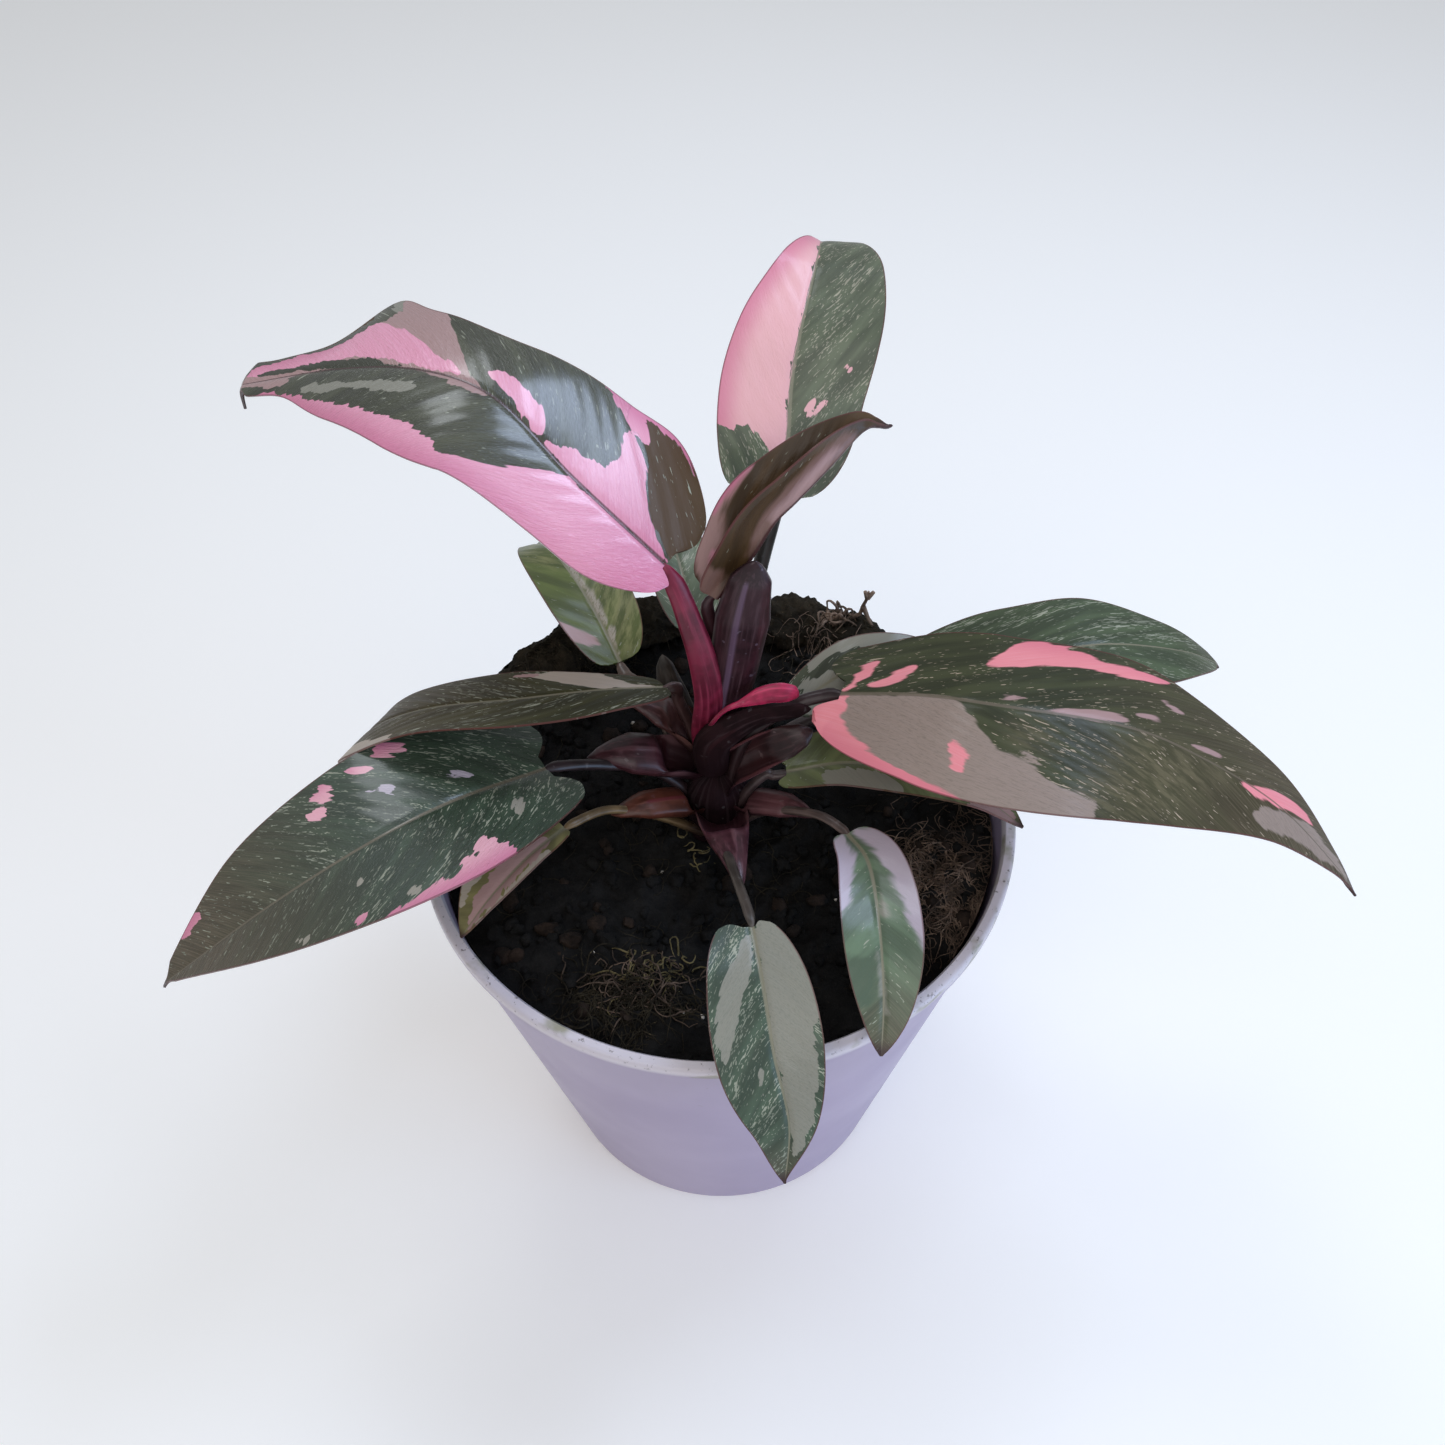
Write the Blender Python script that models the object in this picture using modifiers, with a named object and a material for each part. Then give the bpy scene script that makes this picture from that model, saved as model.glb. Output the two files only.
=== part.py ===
"""A potted pink princess philodendron, 1:1 in metres.

A nursery pot holds soil, the soil holds the rooted stem, and each leaf blade sits on its petiole.
The origin is the centre of the pot's underside, +Z is up, and -Y is the front.
"""
import math
from dataclasses import dataclass

import bmesh
import bpy
import numpy as np

MM = 0.001
GAP = 0.3                 # between pieces that touch

POT_HEIGHT = 134.0
POT_RIM_RADIUS = 75.0     # a 15 cm nursery pot
POT_BASE_RADIUS = 51.0
POT_WALL = 1.8
LIP_WIDTH = 1.6           # how far the rim's bead stands out from the wall
LIP_HEIGHT = 4.0
DRAIN_HOLES = 6
DRAIN_HOLE_RADIUS = 3.5
DRAIN_CIRCLE_RADIUS = 34.0

SOIL_LEVEL = 125.0
STEM_HOLE_RADIUS = 8.0
STEM_HOLE_BOTTOM = 96.0

BLADE_THICKNESS = 0.8
MIDRIB_THICKNESS = 2.0
PETIOLE_RINGS = 8

# Mounds of soil, moss and old root: x, y, height and spread.
MOUNDS = ((-44, 48, 7, 17), (36, 52, 8, 19), (-20, -52, 6, 15), (52, -24, 6, 18), (10, -40, -3, 20))


@dataclass
class Leaf:
    """One leaf, in millimetres and degrees. Pairs are its left and right half, seen from the base."""
    petiole: tuple                # points from the crown to the base of the blade
    sheath: float                 # radius of the petiole where it clasps the crown
    stalk: float                  # radius of the petiole at the blade
    midrib: tuple                 # points from the base of the blade to its tip
    width: tuple                  # greatest width of each half
    base: tuple = (0.5, 0.5)      # width at the base, as a share of the greatest
    widest: tuple = (0.36, 0.36)  # where along the midrib each half is widest
    taper: tuple = (0.85, 0.85)   # how fast each half narrows to the tip
    lobe: tuple = (3, 3)          # how far each half reaches back past the base
    fold: tuple = (0, 0)          # how far each half rises from the midrib
    fold_tip: tuple = None        # the same at the tip
    curl: tuple = (0, 0)          # how far each half bends further, out to its margin
    roll: tuple = (0, 0)          # turn about the midrib, at the base and at the tip
    facing: tuple = (0, 0, 1)     # where the upper face looks at the base
    rows: int = 11                # faces along the blade
    half: int = 3                 # faces across each half


LEAVES = {
    "leaf_upper_left": Leaf(
        petiole=((0, 2, 140), (-1, 4, 158), (-5, 6, 180)), sheath=5.5, stalk=2.4,
        midrib=((-10, 6, 209), (-29, 18, 223), (-45, 30, 235), (-61, 38, 237), (-81, 45, 233),
                (-104, 50, 226)),
        width=(18, 24), base=(0.45, 0.55), widest=(0.55, 0.2), taper=(0.8, 0.75), lobe=(2, 2),
        fold=(-4, 8), fold_tip=(-4, 20), curl=(-22, -15), rows=16, half=4),
    "leaf_top": Leaf(
        petiole=((3, 8, 142), (9, 17, 165), (14, 24, 190)), sheath=3.5, stalk=2.2,
        midrib=((15, 26, 212), (17, 32, 221), (18, 40, 230), (20, 47, 238), (23, 56, 244), (27, 64, 247),
                (31, 73, 243), (34, 79, 236)),
        width=(16, 18), base=(0.6, 0.3), widest=(0.22, 0.55), taper=(1.3, 0.5), lobe=(1, 1),
        fold_tip=(0, 18), facing=(0, -1, 0.3), rows=14, half=3),
    "leaf_young": Leaf(
        petiole=((1, 8, 142), (1, 8, 165), (0, 7, 185)), sheath=4, stalk=1.8,
        midrib=((0, 6, 200), (7, 7, 210), (12, 8, 219), (17, 10, 223), (24, 13, 228), (32, 18, 233),
                (38, 23, 232), (41, 26, 229)),
        width=(11, 9), base=(0.35, 0.35), lobe=(0, 0), fold=(55, 80), facing=(-0.6, -0.2, 0.6),
        rows=10),
    "leaf_right": Leaf(
        petiole=((2, -1, 142), (6, 1, 157), (17, 2, 166)), sheath=6, stalk=1.9,
        midrib=((29, 1, 172), (46, -7, 180), (62, -14, 184), (89, -19, 182), (106, -23, 176),
                (124, -30, 167), (138, -38, 155), (144, -42, 148)),
        width=(23, 24), taper=(1.1, 1.55), lobe=(6, 6), fold=(-10, -10), roll=(-10, -5), rows=16, half=4),
    "leaf_back_right": Leaf(
        petiole=((4, 8, 140), (18, 14, 146), (32, 17, 148)), sheath=3.5, stalk=2.0,
        midrib=((44, 18, 150), (58, 19, 156), (75, 19, 163), (95, 21, 166), (117, 24, 160), (130, 26, 152)),
        width=(16, 16), widest=(0.5, 0.5), taper=(0.9, 0.9), lobe=(4, 4), rows=13),
    "leaf_small_right": Leaf(
        petiole=((3, 5, 146), (10, 8, 154), (16, 9, 159)), sheath=3, stalk=1.5,
        midrib=((21, 9, 161), (33, 13, 167), (45, 14, 168), (55, 16, 165), (63, 18, 160)),
        width=(9, 9), lobe=(2, 2), fold=(8, 8)),
    "leaf_under_right": Leaf(
        petiole=((4, -3, 141), (8, -3, 145), (12, -2, 146)), sheath=3.5, stalk=1.6,
        midrib=((17, -2, 147), (32, -2, 150), (49, -6, 151), (63, -10, 147), (74, -16, 141)),
        width=(11, 8), lobe=(2, 2), fold=(6, 6)),
    "leaf_front_right": Leaf(
        petiole=((3, -5, 138), (12, -8, 142), (23, -16, 148)), sheath=4, stalk=1.3,
        midrib=((30, -24, 151), (34, -34, 153), (35, -51, 152), (35, -65, 146), (34, -75, 140)),
        width=(9.5, 8.5), base=(0.3, 0.3), widest=(0.5, 0.5), taper=(0.8, 0.8), lobe=(0, 0), fold=(10, 10)),
    "leaf_front": Leaf(
        petiole=((0, -6, 136), (1, -16, 141), (4, -34, 148)), sheath=5, stalk=1.4,
        midrib=((7, -50, 153), (9, -63, 150), (11, -76, 143), (14, -86, 131), (13, -94, 119)),
        width=(11, 13), base=(0.2, 0.45), widest=(0.42, 0.38), taper=(1.3, 0.9), lobe=(1, 1), fold=(6, 6)),
    "leaf_lower_left": Leaf(
        petiole=((-4, 0, 142), (-14, 2, 150), (-28, -5, 157)), sheath=5, stalk=1.6,
        midrib=((-40, -10, 160), (-60, -24, 166), (-78, -36, 166), (-100, -47, 158), (-124, -56, 143)),
        width=(20, 22), taper=(1.25, 0.85), lobe=(4, 4), fold=(8, 8), rows=16, half=4),
    "leaf_left": Leaf(
        petiole=((-3, 5, 144), (-6, 7, 156), (-9, 8, 163)), sheath=4, stalk=1.8,
        midrib=((-12, 7, 169), (-27, 1, 175), (-45, -3, 177), (-67, -1, 172), (-82, 2, 163), (-90, 3, 152)),
        width=(14, 14), base=(0.2, 0.2), widest=(0.5, 0.62), taper=(0.8, 0.7), lobe=(0, 0),
        roll=(-20, -20), rows=13),
    "leaf_inside_left": Leaf(
        petiole=((-4, -5, 136), (-15, -8, 141), (-26, -12, 146)), sheath=4, stalk=1.3,
        midrib=((-36, -20, 150), (-44, -28, 150), (-53, -36, 145), (-60, -42, 138)),
        width=(3.5, 11), lobe=(0, 0), fold=(5, 5), rows=9),
    "leaf_back_left": Leaf(
        petiole=((-4, 7, 138), (-12, 18, 142), (-20, 29, 145)), sheath=3.5, stalk=1.8,
        midrib=((-25, 36, 147), (-31, 48, 152), (-38, 60, 156), (-45, 72, 155), (-50, 82, 148),
                (-53, 88, 140)),
        width=(11, 12), base=(0.3, 0.3), widest=(0.35, 0.35), lobe=(0, 0), fold=(6, 6)),
    "leaf_back": Leaf(
        petiole=((0, 10, 140), (-2, 24, 142), (-4, 38, 145)), sheath=3, stalk=1.5,
        midrib=((-5, 50, 148), (-8, 60, 154), (-11, 72, 156), (-14, 84, 150)),
        width=(9, 9), lobe=(2, 2), fold=(8, 8)),
}

# Sheaths with no blade: the unopened spear and the dry scale leaves at the crown, as points and radii.
SPEAR = ((3, 5, 140), (2, 6, 158), (4.5, 5, 180), (6.5, 3.5, 199), (7.5, 2, 212)), (5, 5.4, 6.8, 5.8, 2.4)
SCALES = (
    (((-2, 6, 136), (-9, 20, 143), (-14, 32, 151)), (4, 3.5, 1)),
    (((-3, 1, 138), (-15, -1, 147), (-25, -3, 153)), (4, 4.5, 1.2)),
    (((2, 1, 140), (12, 4, 150), (20, 5, 155)), (4, 4, 1)),
)


def spline(points, count):
    """Points at even distances along a smooth curve through the given ones, with its length."""
    given = np.array(points, float)
    given = np.vstack([2 * given[0] - given[1], given, 2 * given[-1] - given[-2]])
    steps = np.linspace(0, 1, 40, endpoint=False)[:, None]
    runs = []
    for a, b, c, d in zip(given, given[1:], given[2:], given[3:]):
        runs.append(0.5 * (2 * b + (c - a) * steps + (2 * a - 5 * b + 4 * c - d) * steps ** 2
                           + (3 * b - a - 3 * c + d) * steps ** 3))
    fine = np.vstack(runs + [given[-2][None]])
    along = np.concatenate([[0], np.cumsum(np.linalg.norm(np.diff(fine, axis=0), axis=1))])
    places = np.linspace(0, along[-1], count)
    return np.stack([np.interp(places, along, fine[:, k]) for k in range(3)], axis=1), along[-1]


def unit(vectors):
    return vectors / np.linalg.norm(vectors, axis=-1, keepdims=True)


def midrib_frames(leaf, count=160):
    """The midrib's points with the direction along it, the upper face's normal and the left side."""
    points, length = spline(leaf.midrib, count)
    along = unit(np.gradient(points, axis=0))
    normals = np.zeros_like(points)
    normal = np.array(leaf.facing, float)
    for i in range(count):
        normal = unit(normal - (normal @ along[i]) * along[i])
        normals[i] = normal
    left = np.cross(normals, along)
    turn = np.radians(np.linspace(leaf.roll[0], leaf.roll[1], count))[:, None]
    return (points, length, along, normals * np.cos(turn) + left * np.sin(turn),
            left * np.cos(turn) - normals * np.sin(turn))


def half_width(u, side, leaf):
    """The width of one half at the share u of the midrib."""
    base, widest, taper = leaf.base[side], leaf.widest[side], leaf.taper[side]
    if u < widest:
        share = base + (1 - base) * math.sqrt(max(0.0, 1 - ((widest - u) / widest) ** 2))
    else:
        share = max(0.0, 1 - ((u - widest) / (1 - widest)) ** 2) ** taper
    return max(leaf.width[side] * share, 0.4)


def blade_point(leaf, frames, u, v):
    """A point of the blade's upper face, u along the midrib and v from -1 (left) to 1 (right)."""
    points, length, along, normals, left = frames
    side = 0 if v < 0 else 1
    out = abs(v)
    lobe = leaf.lobe[side] * (1 - u) ** 8 * math.sin(0.62 * math.pi * max(0.0, out - 0.35) / 0.65)
    place = u * length - lobe
    i = max(place, 0) / length * (len(points) - 1)
    low = min(int(i), len(points) - 2)
    share = i - low
    centre = points[low] * (1 - share) + points[low + 1] * share + min(place, 0) * along[0]
    normal = normals[low] * (1 - share) + normals[low + 1] * share
    sideways = left[low] * (1 - share) + left[low + 1] * share
    fold_tip = leaf.fold_tip or leaf.fold
    fold = math.radians(leaf.fold[side] + (fold_tip[side] - leaf.fold[side]) * u)
    curl = math.radians(leaf.curl[side]) or 1e-3
    width = half_width(u, side, leaf)
    across = width * (math.sin(fold + curl * out) - math.sin(fold)) / curl
    rise = width * (math.cos(fold) - math.cos(fold + curl * out)) / curl
    return centre + (across if side == 0 else -across) * sideways + rise * normal


def material(name, colour, roughness=0.5):
    made = bpy.data.materials.new(name)
    made.use_nodes = True
    shader = made.node_tree.nodes["Principled BSDF"]
    shader.inputs["Base Color"].default_value = (*colour, 1)
    shader.inputs["Roughness"].default_value = roughness
    shader.inputs["Metallic"].default_value = 0
    return made


def add_object(name, mesh, collection, finish=None, smooth_angle=50):
    if finish:
        mesh.materials.append(finish)
    mesh.shade_smooth()
    mesh.set_sharp_from_angle(angle=math.radians(smooth_angle))
    obj = bpy.data.objects.new(name, mesh)
    collection.objects.link(obj)
    return obj


def mesh_from_bmesh(name, bm):
    bmesh.ops.scale(bm, vec=(MM, MM, MM), verts=bm.verts)
    mesh = bpy.data.meshes.new(name)
    bm.to_mesh(mesh)
    bm.free()
    return mesh


def make_pot(parts, cutters):
    """The thin turned pot with a beaded rim, and its drain holes."""
    inner_rim = POT_RIM_RADIUS - LIP_WIDTH - POT_WALL
    outer_rim = POT_RIM_RADIUS - LIP_WIDTH
    under_lip = POT_HEIGHT - LIP_HEIGHT
    profile = (
        (0, POT_WALL), (POT_BASE_RADIUS - POT_WALL - 1, POT_WALL), (POT_BASE_RADIUS - POT_WALL, 3),
        (inner_rim - 0.2, under_lip), (inner_rim + 0.4, POT_HEIGHT - 0.4), (inner_rim + 1, POT_HEIGHT),
        (POT_RIM_RADIUS - 0.8, POT_HEIGHT), (POT_RIM_RADIUS, POT_HEIGHT - 1),
        (POT_RIM_RADIUS, under_lip + 0.8), (POT_RIM_RADIUS - 0.6, under_lip), (outer_rim, under_lip - 0.3),
        (POT_BASE_RADIUS, 2.5), (POT_BASE_RADIUS - 0.7, 0.7), (POT_BASE_RADIUS - 2.5, 0), (0, 0))
    bm = bmesh.new()
    verts = [bm.verts.new((radius, 0, z)) for radius, z in profile]
    for a, b in zip(verts, verts[1:]):
        bm.edges.new((a, b))
    pot = add_object("pot", mesh_from_bmesh("pot", bm), parts, material("white_plastic", (0.72, 0.71, 0.78), 0.4))
    turn = pot.modifiers.new("turn", "SCREW")
    turn.steps = turn.render_steps = 48
    turn.use_merge_vertices = True
    turn.merge_threshold = 0.00001
    for i in range(DRAIN_HOLES):
        angle = 2 * math.pi * i / DRAIN_HOLES
        bpy.ops.mesh.primitive_cylinder_add(
            vertices=14, radius=DRAIN_HOLE_RADIUS * MM, depth=12 * MM,
            location=(DRAIN_CIRCLE_RADIUS * math.cos(angle) * MM, DRAIN_CIRCLE_RADIUS * math.sin(angle) * MM, 0))
        hole = bpy.context.object
        hole.name = f"drain_hole_{i + 1}"
        hole.hide_render = True
        hole.display_type = "WIRE"
        for collection in hole.users_collection:
            collection.objects.unlink(hole)
        cutters.objects.link(hole)
    drill = pot.modifiers.new("drain_holes", "BOOLEAN")
    drill.operand_type = "COLLECTION"
    drill.collection = cutters
    drill.solver = "EXACT"


def soil_height(x, y):
    """The height of the soil's surface, lumpy and higher in its mounds."""
    lumps = 0.8 * math.sin(0.31 * x + 1.1) * math.cos(0.27 * y) + 0.5 * math.sin(0.55 * y - 0.4 * x)
    mounds = sum(high * math.exp(-((x - mx) ** 2 + (y - my) ** 2) / spread ** 2)
                 for mx, my, high, spread in MOUNDS)
    return SOIL_LEVEL + lumps + mounds


def make_soil(parts):
    """The soil that fills the pot, with a plain hole that the stem stands in."""
    slope = (POT_RIM_RADIUS - LIP_WIDTH - POT_BASE_RADIUS) / (POT_HEIGHT - LIP_HEIGHT - 2.5)
    bottom = POT_WALL + GAP
    top_radius = POT_BASE_RADIUS - POT_WALL + slope * (SOIL_LEVEL - 3) - 2 * GAP
    bm = bmesh.new()
    bmesh.ops.create_cone(bm, cap_ends=True, segments=44, radius1=POT_BASE_RADIUS - POT_WALL - 1.5,
                          radius2=top_radius, depth=SOIL_LEVEL - bottom)
    bmesh.ops.translate(bm, vec=(0, 0, bottom + (SOIL_LEVEL - bottom) / 2), verts=bm.verts)
    bm.faces.ensure_lookup_table()
    top = max(bm.faces, key=lambda face: face.calc_center_median().z)
    radius = top_radius
    for inner in (65, 57, 48, 39, 30, 21, 13, STEM_HOLE_RADIUS):
        bmesh.ops.inset_region(bm, faces=[top], thickness=(radius - inner) * math.cos(math.pi / 44))
        radius = inner
    for vert in bm.verts:
        if vert.co.z > SOIL_LEVEL - 1 and vert not in top.verts and math.hypot(*vert.co.xy) < top_radius - 1:
            vert.co.z = soil_height(vert.co.x, vert.co.y)
    hole = bmesh.ops.extrude_face_region(bm, geom=[top])
    floor = [item for item in hole["geom"] if isinstance(item, bmesh.types.BMVert)]
    bmesh.ops.delete(bm, geom=[top], context="FACES")
    for vert in floor:
        vert.co.z = STEM_HOLE_BOTTOM
    bmesh.ops.recalc_face_normals(bm, faces=bm.faces)
    add_object("soil", mesh_from_bmesh("soil", bm), parts, material("soil", (0.035, 0.025, 0.018), 0.95))


def tapered_tube(name, points, radii, collection):
    """A round stem of changing radius as a closed mesh."""
    curve = bpy.data.curves.new(name, "CURVE")
    curve.dimensions = "3D"
    curve.bevel_depth = MM
    curve.bevel_resolution = 2
    curve.use_fill_caps = True
    run = curve.splines.new("POLY")
    run.points.add(len(points) - 1)
    for place, point, radius in zip(run.points, points, radii):
        place.co = (*(float(value) * MM for value in point), 1)
        place.radius = float(radius)
    bent = bpy.data.objects.new(name, curve)
    bpy.context.scene.collection.objects.link(bent)
    bpy.context.view_layer.update()
    mesh = bpy.data.meshes.new_from_object(bent.evaluated_get(bpy.context.evaluated_depsgraph_get()))
    bpy.data.objects.remove(bent)
    bm = bmesh.new()
    bm.from_mesh(mesh)
    bmesh.ops.remove_doubles(bm, verts=bm.verts, dist=0.00001)
    bmesh.ops.recalc_face_normals(bm, faces=bm.faces)
    bm.to_mesh(mesh)
    bm.free()
    tube = bpy.data.objects.new(name, mesh)
    collection.objects.link(tube)
    return tube


def make_stem(parts):
    """The rooted stem with every petiole, the spear and the scale leaves, grown as one piece."""
    pieces = bpy.data.collections.new("stem_pieces")
    bpy.context.scene.collection.children.link(pieces)
    for name, leaf in LEAVES.items():
        base, _, along, normals, _ = midrib_frames(leaf)
        end = base[0] - along[0] * GAP - normals[0] * MIDRIB_THICKNESS / 2
        points, _ = spline(leaf.petiole + (tuple(end - along[0] * 2 * leaf.stalk),), PETIOLE_RINGS - 1)
        points = np.vstack([points, end])
        share = np.linspace(0, 1, PETIOLE_RINGS)
        radii = leaf.stalk + (leaf.sheath - leaf.stalk) * np.clip(1 - share * 1.3, 0, 1) ** 0.8
        tapered_tube(name + "_petiole", points, radii, pieces)
    for i, (points, radii) in enumerate((SPEAR,) + SCALES):
        curve, _ = spline(points, PETIOLE_RINGS)
        places = np.linspace(0, len(radii) - 1, PETIOLE_RINGS)
        tapered_tube(f"scale_{i}", curve, np.interp(places, range(len(radii)), radii), pieces)
    core_radii = (3, 6.5, 7.2, 7.6, 8, 6)
    core = [(0, 0, z) for z in (STEM_HOLE_BOTTOM + GAP, 102, 112, 124, 140, 152)]
    stem = tapered_tube("stem", core, core_radii, parts)
    stem.data.materials.append(material("petiole_maroon", (0.12, 0.02, 0.045), 0.4))
    grow = stem.modifiers.new("grow", "BOOLEAN")
    grow.operation = "UNION"
    grow.operand_type = "COLLECTION"
    grow.collection = pieces
    grow.solver = "EXACT"
    bpy.context.view_layer.update()
    joined = bpy.data.meshes.new_from_object(stem.evaluated_get(bpy.context.evaluated_depsgraph_get()))
    stem.modifiers.remove(grow)
    stem.data = joined
    stem.data.shade_smooth()
    for obj in list(pieces.objects):
        bpy.data.objects.remove(obj)
    bpy.data.collections.remove(pieces)


def make_blade(name, leaf, parts, finish):
    """One leaf blade: a grid bent to the leaf's form, thin at the margin and thick at the midrib."""
    frames = midrib_frames(leaf)
    rows, columns = leaf.rows, 2 * leaf.half
    bm = bmesh.new()
    bmesh.ops.create_grid(bm, x_segments=rows, y_segments=columns, size=1)
    ribs = {}
    for vert in bm.verts:
        u, v = (vert.co.x + 1) / 2, -vert.co.y
        if abs(v) < 0.01:
            ribs[vert.index] = 1 - 0.75 * u
        vert.co = blade_point(leaf, frames, u, v)
    mesh = mesh_from_bmesh(name, bm)
    blade = add_object(name, mesh, parts, finish, smooth_angle=80)
    group = blade.vertex_groups.new(name="midrib")
    thin = BLADE_THICKNESS / MIDRIB_THICKNESS
    for vert in mesh.vertices:
        group.add([vert.index], thin + (1 - thin) * ribs.get(vert.index, 0), "REPLACE")
    blade.modifiers.new("triangles", "TRIANGULATE")
    wall = blade.modifiers.new("thickness", "SOLIDIFY")
    wall.thickness = MIDRIB_THICKNESS * MM
    wall.offset = -1
    wall.vertex_group = "midrib"


def main():
    for obj in list(bpy.data.objects):
        bpy.data.objects.remove(obj)
    parts = bpy.data.collections.new("potted_pink_princess_philodendron")
    cutters = bpy.data.collections.new("cutters")
    for collection in (parts, cutters):
        bpy.context.scene.collection.children.link(collection)
    make_pot(parts, cutters)
    make_soil(parts)
    make_stem(parts)
    for name, leaf in LEAVES.items():
        make_blade(name, leaf, parts, material(name, (0.07, 0.11, 0.06), 0.3))


main()
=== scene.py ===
"""The looks of a potted pink princess philodendron: leaves, petioles, soil and pot."""
import math
from dataclasses import dataclass, field

import bpy
import numpy as np
from mathutils import Matrix, Vector, noise


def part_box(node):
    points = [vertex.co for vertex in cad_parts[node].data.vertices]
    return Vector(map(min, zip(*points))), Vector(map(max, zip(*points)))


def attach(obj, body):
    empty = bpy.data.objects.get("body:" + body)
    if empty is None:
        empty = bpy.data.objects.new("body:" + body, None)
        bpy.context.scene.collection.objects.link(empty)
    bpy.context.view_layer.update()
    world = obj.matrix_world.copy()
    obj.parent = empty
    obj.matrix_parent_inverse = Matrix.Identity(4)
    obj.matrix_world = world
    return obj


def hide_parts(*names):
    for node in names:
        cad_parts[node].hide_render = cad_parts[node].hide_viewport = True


bl_info = {
    "name": "Potted pink princess philodendron",
    "version": (1, 0, 0),
    "blender": (4, 5, 0),
    "location": "View3D > Sidebar > Philodendron",
    "description": "Models a variegated philodendron in its nursery pot",
    "category": "Add Mesh",
}

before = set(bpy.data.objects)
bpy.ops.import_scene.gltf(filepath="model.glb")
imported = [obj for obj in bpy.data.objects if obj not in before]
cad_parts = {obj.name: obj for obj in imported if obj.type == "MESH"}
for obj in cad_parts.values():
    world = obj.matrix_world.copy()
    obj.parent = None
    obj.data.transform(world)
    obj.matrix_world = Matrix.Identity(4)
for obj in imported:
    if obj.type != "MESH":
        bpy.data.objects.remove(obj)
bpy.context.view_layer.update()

MM = 0.001
POT_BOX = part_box("pot")
POT_HEIGHT = (POT_BOX[1][2] - POT_BOX[0][2]) / MM
POT_RIM_RADIUS = (POT_BOX[1][0] - POT_BOX[0][0]) / 2 / MM
POT_BASE_RADIUS = 51.0
POT_WALL = 1.8
LIP_WIDTH = 1.6
LIP_HEIGHT = 4.0
BEAD_RADIUS = 1.1
FOOT_RADIUS = 3.0
WALL_START = 3.5              # height where the wall leaves the floor
DRAIN_HOLES = 6
DRAIN_HOLE_RADIUS = 3.5
DRAIN_CIRCLE_RADIUS = 34.0

SOIL_LEVEL = 125.0
SOIL_CREST = 7.5              # how far its mounds may stand above that level
STEM_HOLE_RADIUS = 8.0
STEM_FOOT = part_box("stem")[0][2] / MM
# Each mound's middle, height and spread
MOUNDS = ((-44, 48, 7, 17), (36, 52, 8, 19), (-20, -52, 6, 15), (52, -24, 6, 18), (10, -40, -3, 20))

# The photograph's camera, worked out from the rim's ellipse and the base
PHOTO_SIZE = 1445.0
PHOTO_FOCAL = 1350.0
PHOTO_RIM_CENTRE = (716.0, 798.0)
CAMERA_DISTANCE = 343.0
CAMERA_ELEVATION = 52.6
CAMERA_ROLL = 0.8


@dataclass
class Leaf:
    """One leaf, in millimetres and degrees. Pairs are its left and right half, seen from the base."""
    midrib: tuple                 # points from the base of the blade to its tip
    width: tuple                  # greatest width of each half
    petiole: tuple = ()           # points from the crown to the blade, unless SHEATHS has the petiole
    stalk: float = 1.5            # radius of the petiole at the blade
    base: tuple = (0.5, 0.5)      # width at the base, as a share of the greatest
    widest: tuple = (0.36, 0.36)  # where along the midrib each half is widest
    taper: tuple = (0.85, 0.85)   # how fast each half narrows to the tip
    lobe: tuple = (3, 3)          # how far each half reaches back past the base
    fold: tuple = (0, 0)          # how far each half rises from the midrib
    fold_tip: tuple = None        # the same at the tip
    curl: tuple = (0, 0)          # how far each half bends further, out to its margin
    roll: tuple = (0, 0)          # turn about the midrib, at the base and at the tip
    facing: tuple = (0, 0, 1)     # where the upper face looks at the base
    slot: str = "speckled_green"
    green: tuple = (0.060, 0.085, 0.045)
    warm: float = 0.0             # how far the pink leans to salmon
    chalk: float = 0.0            # how chalky its pink and pale marks are
    mottle: float = 0.0           # how far the green shows through its pale marks
    flecks: float = 0.5           # how thickly the pale flecks lie
    rib: float = 0.0              # 0 for a pale midrib, 1 for a maroon one
    skin: tuple = (0.075, 0.050, 0.048)  # colour of the petiole
    shine: float = 0.3            # how glossy the upper face is
    grain: float = 1.0            # how short the flecks are
    hook: float = 0.0             # how far the tip hangs, in millimetres
    tip: float = 0.9              # where the blade draws in to its drip tip
    stretch: float = 0.0          # how far the tip reaches on, in millimetres
    trims: tuple = ()             # changes to a half's width: -1 left or 1 right, place, reach, share
    slant: float = 0.85           # how far the veins lean towards the tip
    aged: tuple = (1.5, 2.0)      # where along the midrib the green turns browner
    ragged: float = 1.0           # how ragged the edges of its marks are
    soft: float = 0.1             # how softly its marks fade, in millimetres
    deep: float = 0.0             # how far the pink deepens towards the base
    wave: float = 0.5             # height of the margin's waves
    marks: dict = field(default_factory=dict)


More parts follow.
